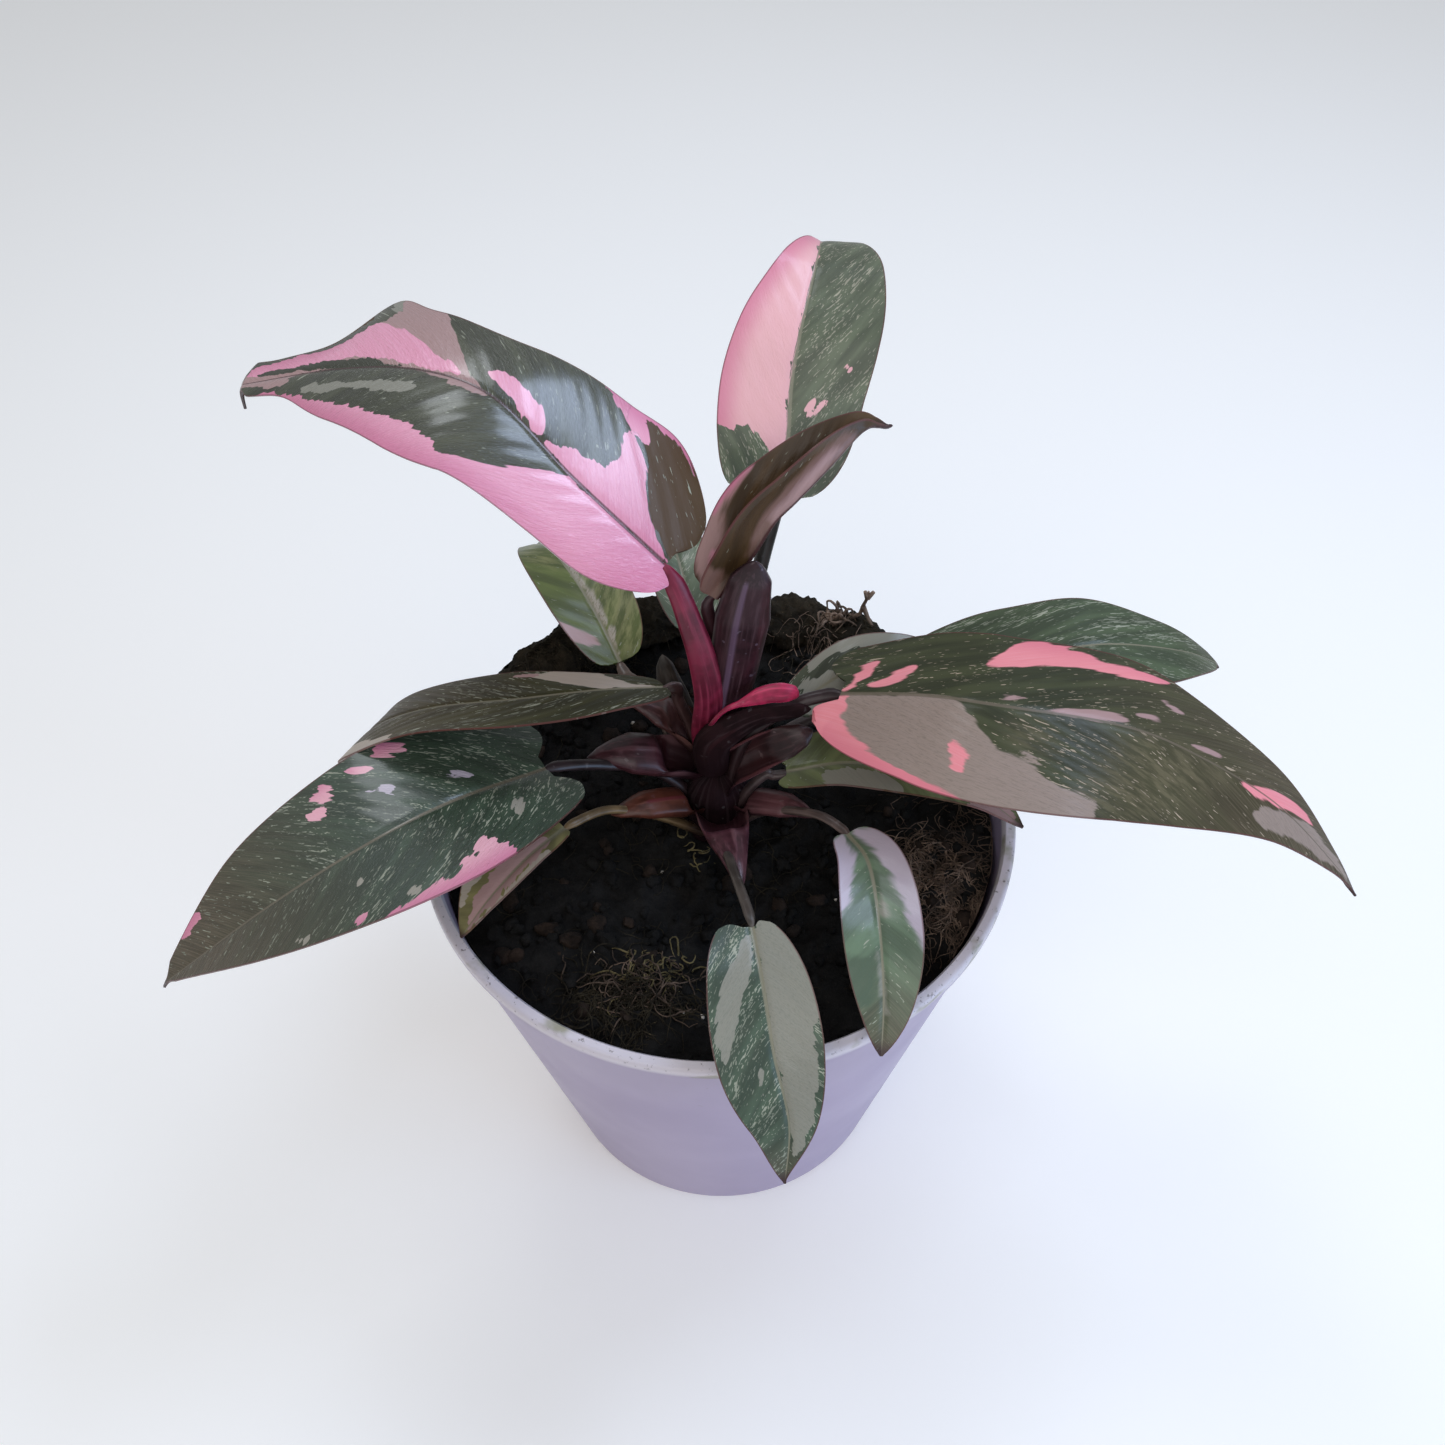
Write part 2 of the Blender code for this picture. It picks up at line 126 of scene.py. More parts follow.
LEAVES = {
    "leaf_upper_left": Leaf(
        midrib=((-10, 6, 209), (-29, 18, 223), (-45, 30, 235), (-61, 38, 237), (-81, 45, 233),
                (-104, 50, 226)),
        width=(18, 24), base=(0.2, 0.45), widest=(0.55, 0.2), taper=(0.8, 0.75), lobe=(3.5, 2),
        fold=(-4, 8), fold_tip=(-4, 20), curl=(-22, -15), slot="pink_and_dark_green",
        green=(0.034, 0.036, 0.020), flecks=0.5, rib=1.0, hook=6.0, tip=0.955, stretch=5.0, shine=1.0,
        ragged=0.75, deep=0.6,
        trims=((-1, 0.08, 0.10, 0.2), (-1, 0.50, 0.20, 0.23), (-1, 0.91, 0.06, -0.38),
               (1, 0.13, 0.10, 0.14), (1, 0.50, 0.12, -0.27), (1, 0.745, 0.065, 0.5),
               (1, 0.84, 0.09, -0.32), (1, 0.97, 0.03, 0.6)),
        marks={
            "pink": (
                ((-.1, 0), (-.1, -1.5), (.5, -1.5), (.97, -1.2), (.9, -.85), (.8, -.72), (.7, -.68),
                 (.57, -.66), (.5, -.72), (.45, -.82), (.39, -.74), (.33, -.55), (.29, -.3), (.25, -.08),
                 (.21, 0)),
                ((.49, .27), (.46, .38), (.44, .34), (.4, .32), (.36, .22), (.33, .08), (.34, 0),
                 (.38, .05), (.42, .13), (.46, .2)),
                ((.33, -.02), (.3, .12), (.27, .2), (.23, .25), (.2, .3), (.17, .24), (.1, .2), (0, .1),
                 (0, -.02)),
                ((.32, .98), (.26, 1.02), (.2, .84), (.18, .72), (.2, .7), (.25, .8), (.3, .9)),
                ((.24, .74), (.2, .7), (.16, .58), (.125, .4), (.09, .26), (.05, .16), (.01, .1),
                 (0, .02), (.1, 0), (.15, .05), (.2, .2), (.21, .35), (.2, .45), (.215, .55),
                 (.235, .64)),
                ((.34, .95), (.2, .95), (.04, .96), (.04, 1.2), (.34, 1.2)),
                ((.5, .08), (.58, .3), (.66, .5), (.73, .64), (.82, .76), (.9, .84), (.97, .6), (.95, .3),
                 (.85, .25), (.75, .14), (.66, .07), (.58, .02))),
            "blush": (
                ((.47, .02), (.5, .12), (.54, .38), (.57, .62), (.6, .85), (.63, 1.1), (.72, 1.1),
                 (.71, .75), (.76, .6), (1, .5), (1, -.6), (.9, -.5), (.87, -.35), (.9, -.1), (.82, .05),
                 (.74, .02), (.66, .02), (.6, 0), (.52, -.12), (.45, -.05)),),
            "pale": (
                ((.58, -.22), (.66, -.24), (.74, -.3), (.84, -.42), (.86, -.6), (.8, -.56), (.76, -.42),
                 (.68, -.4), (.6, -.34)),
                ((.67, 1.2), (.68, .78), (.72, .75), (.745, .95), (.74, 1.2)),
                ((.52, -.78), (.46, -.85), (.42, -.85), (.45, -.95), (.5, -.9))),
            "olive": (
                ((.26, .9), (.25, .78), (.2, .74), (.16, .6), (.125, .42), (.09, .28), (.05, .18),
                 (0, .1), (-.05, .2), (-.05, 1.2), (.3, 1.2)),
                ((.75, 1.2), (.75, .95), (.8, .9), (.86, .95), (.88, 1.2))),
            "dark": (
                ((.62, .02), (.7, .07), (.8, .18), (.9, .35), (.95, .3), (.88, .1), (.78, .01)),),
        }),
    "leaf_top": Leaf(
        petiole=((3, 8, 142), (6, 15, 165), (10, 21, 188)), stalk=2.2,
        midrib=((15, 26, 212), (17, 32, 221), (18, 40, 230), (20, 47, 238), (22.5, 56, 243),
                (24.5, 64, 246), (26, 73, 245), (27, 81, 240)),
        width=(16, 17.5), base=(0.6, 0.3), widest=(0.22, 0.5), taper=(1.3, 0.72), lobe=(1, 1),
        fold_tip=(0, 18), facing=(0, -1, 0.3), slot="pink_and_dark_green", green=(0.080, 0.091, 0.058),
        warm=0.4, chalk=0.55, flecks=0.9, slant=1.2, grain=1.5, shine=0.35, skin=(0.040, 0.036, 0.030),
        marks={
            "pink": (
                ((.1, 0), (.1, -.15), (.13, -.3), (.16, -.45), (.185, -.6), (.19, -.7), (.18, -.8),
                 (.185, -.95), (.19, -1.3), (.98, -1.3), (.96, -.6), (.93, -.2), (.9, -.02), (.7, -.02),
                 (.5, -.02), (.4, -.02), (.3, -.02), (.2, -.02)),
                ((.225, .27), (.25, .42), (.285, .55), (.275, .35), (.25, .25)),
                ((.38, .66), (.41, .68), (.4, .78), (.38, .76))),
        }),
    "leaf_young": Leaf(
        petiole=((1, 8, 142), (1, 8, 165), (0, 7, 185)), stalk=1.8,
        midrib=((0, 6, 200), (7, 7, 210), (12, 8, 219), (17, 10, 223.5), (24, 13.5, 229.5), (31, 19, 234),
                (35, 22, 232.5), (37, 23, 229.5)),
        width=(11, 9), base=(0.35, 0.35), lobe=(0, 0), fold=(55, 80), facing=(-0.6, -0.2, 0.6),
        trims=((-1, 0.92, 0.12, -0.4), (1, 0.93, 0.13, -0.8)), slot="olive_and_pink",
        green=(0.048, 0.027, 0.012), flecks=0.1, rib=1.0, wave=0.2, skin=(0.045, 0.016, 0.020), hook=-2.0,
        soft=1.2, ragged=0.8, slant=2.5,
        marks={
            "mauve": (
                ((-.1, -.1), (0, -1.3), (.3, -1.3), (.33, -.78), (.27, -.62), (.2, -.5), (.16, -.2),
                 (.1, .3)),
                ((-.1, .02), (.1, .1), (.14, .5), (.12, 1.3), (-.1, 1.3)),
                ((.2, .1), (.3, .02), (.45, -.08), (.6, -.15), (.78, -.2), (.8, .2), (.78, .7), (.7, .75),
                 (.6, .66), (.5, .55), (.4, .35), (.3, .2))),
            "blush": (
                ((.02, -.3), (.06, -.5), (.12, -.62), (.2, -.6), (.3, -.82), (.48, -.95), (.5, -1.3),
                 (.02, -1.3)),
                ((.36, .08), (.5, .02), (.64, .02), (.74, .1), (.73, .4), (.64, .4), (.52, .25))),
            "pink": (
                ((.06, -.4), (.09, -.56), (.13, -.66), (.15, -.6), (.12, -.45), (.09, -.3)),
                ((.28, -.93), (.5, -.97), (.5, -1.3), (.28, -1.3))),
        }),
    "leaf_right": Leaf(
        petiole=((2, -1, 142), (6, 1, 157), (17, 2, 166)), stalk=1.9,
        midrib=((29, 1, 172), (46, -7, 180), (62, -14, 184), (89, -19, 182), (106, -23, 176),
                (124, -30, 167), (138, -38, 155), (144, -42, 148)),
        width=(23, 24), base=(0.5, 0.2), taper=(1.1, 1.55), lobe=(6, 6), fold=(-10, -10), roll=(-10, -5),
        slot="pink_and_dark_green", green=(0.033, 0.036, 0.017), warm=1.0, flecks=0.65, rib=0.5,
        soft=0.35, skin=(0.026, 0.012, 0.013), shine=0.18, grain=1.1, ragged=0.7, slant=2.3,
        aged=(0.4, 0.85), mottle=0.2, tip=0.955,
        marks={
            "pink": (
                ((-.05, .2), (0, .03), (.02, .05), (.015, .25), (.03, .5), (.07, .72), (.12, .84),
                 (.18, .92), (.26, .97), (.3, 1.3), (0, 1.4), (-.05, 1.3)),
                ((.22, .5), (.23, .44), (.245, .5), (.26, .6), (.255, .72), (.245, .76), (.235, .66)),
                ((0, -.1), (.03, -.52), (.06, -.66), (.06, -.55), (.04, -.35), (.01, -.05)),
                ((.04, -.13), (.07, -.28), (.09, -.42), (.12, -.5), (.13, -.42), (.1, -.22), (.07, -.1)),
                ((.23, -.5), (.27, -.68), (.3, -.88), (.36, -1), (.42, -.95), (.46, -.84), (.52, -.88),
                 (.58, -.95), (.53, -.74), (.46, -.72), (.41, -.7), (.35, -.64), (.29, -.53)),
                ((.69, .12), (.74, -.1), (.79, -.4), (.83, -.62), (.87, -.62), (.82, -.14), (.77, .1),
                 (.73, .16))),
            "pale": (
                ((-.02, .02), (.11, .0), (.21, -.02), (.24, .15), (.27, .28), (.29, .45), (.33, .48),
                 (.35, .54), (.37, .68), (.42, .78), (.46, .88), (.42, 1.3), (.1, 1.3), (-.02, 1.3)),
                ((.315, .42), (.33, .4), (.36, .52), (.35, .55)),
                # This pale patch at the tip is a painted sheen, grey beige over the green
                ((.73, .42), (.81, 0), (.87, -.45), (.97, -.6), (.97, .4), (.9, .55), (.82, .66),
                 (.76, .7))),
            "blush": (
                ((.345, .0), (.38, -.06), (.42, -.1), (.46, -.13), (.5, -.11), (.48, -.04), (.42, .02)),
                ((.5, -.2), (.53, -.28), (.56, -.26), (.54, -.18)),
                ((.55, -.54), (.57, -.61), (.6, -.57), (.58, -.5)),
                ((.6, -.1), (.63, -.17), (.67, -.22), (.64, -.11)),
                ((.28, -.12), (.31, -.18), (.33, -.16), (.3, -.1))),
            "straw": (
                # This straw patch is partly pale olive colour and partly a painted broad sheen
                ((.42, .86), (.46, .5), (.51, .05), (.6, .02), (.68, .1), (.64, .4), (.6, .8),
                 (.52, 1.0)),
                ((.3, .25), (.34, .18), (.37, .35), (.34, .42))),
        }),
    "leaf_back_right": Leaf(
        petiole=((4, 8, 140), (18, 14, 146), (32, 17, 148)), stalk=2.0,
        midrib=((44, 18, 150), (58, 19, 156), (75, 19, 163), (95, 21, 166), (117, 24, 160),
                (130, 26, 152)),
        width=(16, 16), widest=(0.5, 0.5), taper=(0.9, 0.9), lobe=(4, 4), slot="speckled_green", hook=1.0,
        green=(0.050, 0.066, 0.036), flecks=1.1, slant=3.6, grain=1.2, shine=0.25, tip=0.96,
        aged=(0.8, 1.3), trims=((-1, 0.22, 0.2, 0.25),)),
    "leaf_small_right": Leaf(
        petiole=((3, 5, 146), (10, 8, 154), (16, 9, 159)), stalk=1.5,
        midrib=((21, 9, 161), (33, 13, 167), (45, 14, 168), (55, 16, 165), (63, 18, 160)), width=(9, 9),
        lobe=(2, 2), fold=(8, 8), slot="grey_green", green=(0.040, 0.044, 0.028), flecks=0.6, slant=1.6,
        marks={
            "pale": (
                ((.0, -.3), (.12, -.5), (.2, -.3), (.32, -.22), (.42, -.25), (.52, -.05), (.7, .1),
                 (.9, .2), (.7, .5), (.45, .75), (.3, 1.3), (0, 1.3)),
                ((.12, -.75), (.28, -.62), (.45, -.55), (.62, -.5), (.85, -.45), (.9, -1.3), (.1, -1.3))),
        }),
    "leaf_under_right": Leaf(
        petiole=((4, -3, 141), (8, -3, 145), (12, -2, 146)), stalk=1.6,
        midrib=((17, -2, 147), (32, -2, 150), (49, -6, 151), (63, -10, 147), (74, -16, 141)),
        width=(11, 8), lobe=(2, 2), fold=(6, 6), slot="grey_green", green=(0.105, 0.120, 0.055),
        flecks=0.3,
        marks={
            "pale": (
                ((.12, .3), (.2, 1.3), (.3, 1.3), (.5, .9), (.44, .5), (.28, .2)),),
            "blush": (
                ((.74, 1.3), (.76, .5), (.82, -.2), (.95, -.5), (1.1, 0), (1.1, 1.3)),),
        }),
    "leaf_front_right": Leaf(
        petiole=((3, -5, 138), (12, -8, 142), (23, -16, 148)), stalk=1.3,
        midrib=((30, -24, 151), (34, -34, 153), (35, -51, 152), (35, -65, 146), (34, -75, 140)),
        width=(9.5, 8.5), base=(0.3, 0.3), widest=(0.5, 0.5), taper=(0.8, 0.8), lobe=(0, 0),
        fold=(10, 10), slot="pale_and_green", green=(0.085, 0.120, 0.075), flecks=0.6, wave=0.3,
        shine=0.4, ragged=0.9, soft=0.8, mottle=0.35, aged=(0.62, 1.0), skin=(0.11, 0.075, 0.065),
        marks={
            "lilac": (
                # The lilac patches are partly the leaf's own colour and partly a painted sheen
                ((0, -.14), (.1, -.22), (.2, -.34), (.3, -.46), (.4, -.58), (.5, -.74), (.6, -.95),
                 (.66, -1.3), (0, -1.3)),
                ((0, .15), (.1, .34), (.2, .45), (.3, .58), (.4, .78), (.5, 1.3), (0, 1.3))),
            "pale": (
                ((.32, -.1), (.36, -.22), (.44, -.26), (.46, -.12), (.4, -.04)),
                ((.58, .1), (.66, .16), (.75, .08), (.86, -.02), (.8, -.12), (.68, -.02))),
            "dark": (
                ((.6, .3), (.62, 1.3), (.8, 1.3), (.82, .5), (.72, .2)),),
        }),
    "leaf_front": Leaf(
        petiole=((0, -6, 136), (1, -16, 141), (4, -34, 148)), stalk=1.4,
        midrib=((7, -50, 153), (9, -63, 150), (11, -76, 143), (14, -86, 131), (13, -94, 119)),
        width=(11, 13), base=(0.2, 0.45), widest=(0.42, 0.38), taper=(1.3, 0.9), lobe=(1, 1), fold=(6, 6),
        slot="pale_and_green", green=(0.045, 0.064, 0.042), flecks=1.1, wave=0.3, ragged=0.6, grain=1.8,
        mottle=0.2, aged=(0.8, 1.05), skin=(0.070, 0.055, 0.045),
        marks={
            "pale": (
                ((0, -.02), (.1, -.02), (.3, -.02), (.5, -.02), (.7, -.03), (.82, -.06), (.9, -.4),
                 (.84, -.75), (.7, -.8), (.55, -.86), (.45, -.78), (.38, -.9), (.34, -1.3), (.05, -1.3),
                 (-.05, -1)),
                ((.03, .05), (.1, .1), (.17, .16), (.25, .32), (.33, .52), (.4, .64), (.5, .84),
                 (.42, .9), (.34, .88), (.26, .84), (.18, .62), (.1, .45), (.05, .3)),
                ((.46, .3), (.54, .34), (.63, .42), (.55, .26))),
        }),
    "leaf_lower_left": Leaf(
        petiole=((-4, 0, 142), (-15, 0.5, 148), (-28, -4.5, 154)), stalk=1.6,
        midrib=((-40, -10, 160), (-60, -24, 166), (-78, -36, 166), (-100, -47, 158), (-124, -56, 143)),
        width=(20, 22), taper=(1.25, 0.85), lobe=(4, 4), fold=(8, 8), slot="speckled_green",
        green=(0.032, 0.047, 0.030), flecks=0.85, skin=(0.034, 0.022, 0.024), hook=0.8, shine=0.7,
        tip=0.96, trims=((-1, 0.32, 0.24, 0.22),), grain=1.35, aged=(0.45, 0.85), chalk=0.35, ragged=1.1,
        rib=0.4,
        marks={
            "pink": (
                ((.205, -1.3), (.205, -.86), (.225, -.68), (.25, -.62), (.27, -.68), (.275, -.78),
                 (.3, -.72), (.32, -.76), (.325, -.84), (.36, -.86), (.42, -.92), (.48, -1), (.5, -1.3)),
                ((.485, .6), (.49, .66), (.515, .69), (.535, .64), (.525, .58), (.505, .55)),
                ((.455, .66), (.46, .8), (.47, .9), (.485, .86), (.51, .84), (.495, .76), (.485, .68)),
                ((.345, .75), (.37, .82), (.4, .86), (.395, .78), (.365, .72)),
                ((.265, .78), (.28, .9), (.33, .97), (.325, .86), (.29, .78)),
                ((.83, .76), (.85, 1), (.92, 1.02), (.92, .86), (.87, .78)),
                ((.495, -.84), (.505, -.96), (.525, -.96), (.52, -.86))),
            "lilac": (
                ((.335, .38), (.33, .45), (.35, .5), (.39, .54), (.375, .48), (.355, .44), (.35, .38)),
                ((.165, .2), (.18, .28), (.215, .35), (.222, .33), (.19, .23))),
            "pale": (
                ((.1, -.36), (.11, -.44), (.135, -.6), (.15, -.55), (.14, -.42), (.12, -.34)),
                ((.395, -.8), (.41, -.9), (.425, -.82), (.41, -.78)),
                ((.475, -.4), (.485, -.48), (.495, -.42), (.485, -.37)),
                ((.615, -.84), (.62, -.94), (.65, -.88), (.645, -.8))),
        }),
    "leaf_left": Leaf(
        petiole=((-3, 5, 144), (-6, 7, 156), (-9, 8, 163)), stalk=1.8,
        midrib=((-12, 7, 169), (-27, 1, 175), (-45, -3, 177), (-67, -1, 172), (-82, 1.2, 162.5),
                (-89.5, 1, 149.5)),
        width=(14, 14), base=(0.2, 0.2), widest=(0.5, 0.62), taper=(0.75, 0.5), lobe=(0, 0),
        roll=(-20, -20), slot="speckled_green", green=(0.026, 0.025, 0.008), flecks=0.95,
        skin=(0.060, 0.030, 0.028), hook=1.0, tip=0.97, shine=0.05, grain=0.9, slant=1.7, aged=(0.3, 1.0),
        chalk=1.0, trims=((-1, 0.86, 0.14, 0.5),),
        marks={
            "pale": (
                ((.66, -.86), (.78, -.66), (.88, -.55), (.97, -.45), (1.02, -1), (.9, -1.3), (.66, -1.3)),
                ((.42, .82), (.39, .93), (.3, .95), (.2, 1.05), (.14, 1), (.12, .6), (.08, .15),
                 (.01, .02), (.1, 0), (.18, .11), (.24, .35), (.29, .53), (.35, .74))),
            "blush": (
                ((.44, .82), (.4, .92), (.32, .93), (.33, .76), (.37, .74)),),
        }),
    "leaf_inside_left": Leaf(
        petiole=((-4, -5, 136), (-15, -8, 141), (-26, -12, 146)), stalk=1.3,
        midrib=((-36, -20, 150), (-44, -28, 150), (-53, -36, 145), (-60, -42, 138)), width=(3.5, 11),
        lobe=(0, 0), fold=(5, 5), slot="pale_and_green", green=(0.150, 0.135, 0.060),
        skin=(0.19, 0.125, 0.06), flecks=0.1, wave=0.2, chalk=0.85,
        marks={
            "blush": (
                ((.1, .15), (.3, .38), (.6, .35), (.9, .4), (.95, -.6), (.5, -.6), (.2, -.4)),),
            "pale": (
                ((.25, .5), (.4, .62), (.6, .52), (.8, .65), (.95, .9), (.6, 1.3), (.3, 1.3)),
                ((.2, -.5), (.5, -.7), (.9, -.7), (.8, -1.3), (.2, -1.3))),
        }),
    "leaf_back_left": Leaf(
        petiole=((-4, 7, 138), (-12, 18, 142), (-20, 29, 145)), stalk=1.8,
        midrib=((-25, 36, 147), (-31, 48, 152), (-38, 60, 156), (-45, 72, 155), (-50, 82, 148),
                (-53, 88, 140)),
        width=(11, 12), base=(0.3, 0.3), widest=(0.35, 0.35), lobe=(0, 0), fold=(6, 6), slot="grey_green",
        green=(0.075, 0.092, 0.030), flecks=0.2, skin=(0.13, 0.09, 0.07), soft=0.6, mottle=0.7, chalk=0.7,
        marks={
            "pale": (
                ((0, .12), (.2, .2), (.4, .15), (.55, .05), (.5, -.02), (.3, .02), (.1, .05)),
                ((.9, -.3), (.96, -.5), (.97, .2), (.92, .3))),
            "straw": (
                ((0, .1), (.05, 1.3), (.9, 1.3), (.8, .4), (.5, .05)),
                ((.5, -.1), (.55, -.8), (.8, -.8), (.8, -.1))),
            "blush": (
                ((.1, -.3), (.2, -.7), (.28, -1.3), (.18, -1.3), (.08, -.5)),),
        }),
    "leaf_back": Leaf(
        petiole=((0, 10, 140), (-2, 24, 142), (-4, 38, 145)), stalk=1.5,
        midrib=((-5, 50, 148), (-8, 60, 154), (-11, 72, 156), (-14, 84, 150)), width=(9, 9), lobe=(2, 2),
        fold=(8, 8), slot="grey_green", green=(0.095, 0.115, 0.075), flecks=0.8, skin=(0.12, 0.10, 0.07)),
}
MARK_KINDS = ("olive", "straw", "mauve", "pale", "blush", "lilac", "pink", "dark")
NO_MARK = -30.0               # distance to a mark that a blade hasn't got, in millimetres

BLADE_THICKNESS = 0.7
MIDRIB_THICKNESS = 1.9
MIDRIB_GROOVE = 0.30
VEIN_SPACING = 6.1
VEIN_HEIGHT = 0.04
VEIN_BEND = 0.018             # how fast the veins turn to the tip, a millimetre
USUAL_LEAN = 1.31             # a vein's length over its reach across the blade, at the usual slant
LARGE_LEAF = 80.0             # longer blades get the finer grid
FINE_GRID = (170, 72)
PLAIN_GRID = (104, 48)


@dataclass
class Sheath:
    """A clasping sheath: points, half widths and half depths along it, in millimetres."""
    points: tuple
    widths: tuple
    depths: tuple
    skin: tuple
    rim: tuple
    open_share: float = 0.0    # how much of it, from the crown, is an open channel
    facing: tuple = (0, 0, 1)


SHEATHS = {
    "petiole_upper_left": Sheath(
        ((0, 3, 143), (-2, 2.4, 158), (-1.4, 1.5, 172), (-3.1, 2, 185), (-5.3, 3, 194), (-7.6, 4.4, 202),
         (-10.6, 6.2, 209)),
        (4, 4.3, 3.9, 3.6, 3.1, 2.6, 2.2), (3, 2.6, 2.2, 2.1, 1.9, 1.8, 1.4), (0.19, 0.014, 0.040),
        (0.40, 0.06, 0.11), facing=(0.3, -1, 0.2)),
    # The spear's rim colour is the painted sheen along its ridges
    "spear": Sheath(
        ((3, 5, 140), (2.2, 6, 158), (4.7, 5, 180), (6.9, 3.5, 199), (9, 2, 213)), (5, 5, 5.7, 6.2, 3.8),
        (4, 5, 5.2, 4.5, 2), (0.037, 0.013, 0.018), (0.24, 0.15, 0.25), facing=(-0.1, -1, 0.3)),
    "sheath_lip": Sheath(
        ((-3, -1, 160), (-0.5, -2.2, 166.6), (2.4, -2.4, 170.9), (6.6, -1.7, 172.5), (12.1, -1, 174.4),
         (16.7, -0.5, 174), (19.4, 0.5, 171.8)),
        (0.6, 0.55, 0.5, 0.8, 2.2, 2.5, 1.7), (0.5, 0.5, 0.5, 0.7, 1.1, 1.1, 0.8), (0.42, 0.020, 0.075),
        (0.60, 0.10, 0.17), facing=(0, -0.7, 0.7)),
    # Its nearly black skin is painted shade below the lip, in the crown's shadow
    "sheath_right": Sheath(
        ((-1, 0, 146), (-1, -1.6, 157.2), (3.3, -1.6, 162.7), (10.3, -0.6, 166.2), (15.1, -0.2, 166.9),
         (22.5, 0.6, 167)),
        (4, 4.4, 5, 3.6, 2.8, 1.8), (3, 3.0, 2.8, 2.0, 1.8, 1.2), (0.018, 0.006, 0.007),
        (0.045, 0.012, 0.014), facing=(0, -0.6, 0.8)),
    "sheath_under": Sheath(
        ((1, -1, 141), (2.4, -2.2, 148), (6.6, -2.4, 151.8), (11.3, -2.4, 155.5), (15.2, -2, 157.4),
         (23, -1, 161)),
        (4, 4.4, 4.5, 4.5, 4.1, 2.2), (3, 3.5, 3.5, 3, 2.5, 1), (0.036, 0.012, 0.013),
        (0.19, 0.065, 0.07), 0.9, (-0.2, -0.5, 0.85)),
    "sheath_left": Sheath(
        ((-3, 4, 141), (-14, 2, 149), (-23.5, 0, 153), (-31.5, -1, 152.5)), (4, 6.2, 6, 1),
        (3, 4.5, 4, 0.8), (0.052, 0.015, 0.020), (0.17, 0.08, 0.09), 0.5),
    "sheath_back_left": Sheath(
        ((-2, 8, 142), (-8, 9, 152), (-15, 9, 159), (-22, 9, 163)), (4, 5.4, 4.6, 1), (3, 3.5, 2.5, 0.8),
        (0.080, 0.030, 0.028), (0.17, 0.08, 0.07), 0.7),
    "sheath_low_left": Sheath(
        ((-3, -1, 134), (-12, -5.5, 140), (-20, -9, 143), (-26, -11, 142.5)), (4, 4.6, 4.3, 1),
        (3, 3.2, 2.6, 0.7), (0.115, 0.034, 0.020), (0.19, 0.02, 0.05), 0.3),
    "sheath_front": Sheath(
        ((0, -1, 134), (2, -14, 139), (4, -26, 142.5), (5, -34, 142.5)), (7, 6.4, 3.6, 0.8),
        (4, 4, 2.5, 0.7), (0.085, 0.028, 0.036), (0.26, 0.12, 0.13), 0.5),
    "sheath_low_right": Sheath(
        ((4, -1, 134), (12, -6, 140), (19, -10, 142.5), (23.5, -13, 142.5)), (3.5, 4.2, 3.8, 0.8),
        (3, 3, 2.4, 0.7), (0.100, 0.036, 0.040), (0.22, 0.10, 0.10), 0.3),
    "scale_back": Sheath(
        ((-3, 6, 136), (-9, 15, 148), (-11.5, 19, 157), (-13, 22, 164)), (4, 5, 4, 1.5), (2, 2, 1.6, 0.6),
        (0.036, 0.026, 0.018), (0.08, 0.055, 0.04), facing=(0, -0.8, 0.6)),
}


def tint(name, description, default):
    """A colour that a user can change."""
    return bpy.props.FloatVectorProperty(
        name=name, description=description, subtype="COLOR", default=default, min=0, max=1)


class PotSettings(bpy.types.PropertyGroup):
    segments: bpy.props.IntProperty(
        name="Segments", description="Sides of the turned pot", default=144, min=24)
    # The plastic colour is darker and more lilac than the white pot: painted shade on the wall
    plastic: tint("Plastic", "Colour of the moulded plastic", (0.37, 0.305, 0.44))
    # The bead colour is lighter than the wall: a painted highlight on the rim's top, not wear
    bead: tint("Bead", "Colour of the worn bead at the rim", (0.78, 0.74, 0.74))
    stain: tint("Stain", "Colour of the algae and soil stains at the rim", (0.23, 0.22, 0.12))
    specks: tint("Specks", "Colour of the specks of soil on the rim", (0.05, 0.035, 0.02))
    splash: tint("Splash", "Colour of the splashes below the rim", (0.10, 0.075, 0.05))


class SoilSettings(bpy.types.PropertyGroup):
    lump: bpy.props.FloatProperty(
        name="Lumps", description="Height of the small lumps", default=1.6 * MM, unit="LENGTH")
    crumbs: bpy.props.IntProperty(
        name="Crumbs", description="Loose crumbs on the surface", default=520, min=0)
    fibres: bpy.props.IntProperty(
        name="Fibres", description="Dry roots and moss strands", default=260, min=0)
    peat: tint("Peat", "Colour of the moist soil", (0.0075, 0.0070, 0.0066))
    bank: tint("Moss bank", "Colour of the old moss at the back", (0.018, 0.014, 0.009))
    bark: tint("Bark", "Colour of the bark chips", (0.018, 0.012, 0.009))
    grains: tint("Grains", "Colour of the white grains", (0.42, 0.38, 0.33))
    root: tint("Root", "Colour of the dry roots", (0.080, 0.056, 0.042))
    pale_root: tint("Pale root", "Colour of the lightest roots", (0.17, 0.12, 0.09))
    moss: tint("Moss", "Colour of the dry moss", (0.020, 0.016, 0.010))
    yellow_moss: tint("Yellow moss", "Colour of the lightest moss", (0.11, 0.088, 0.042))


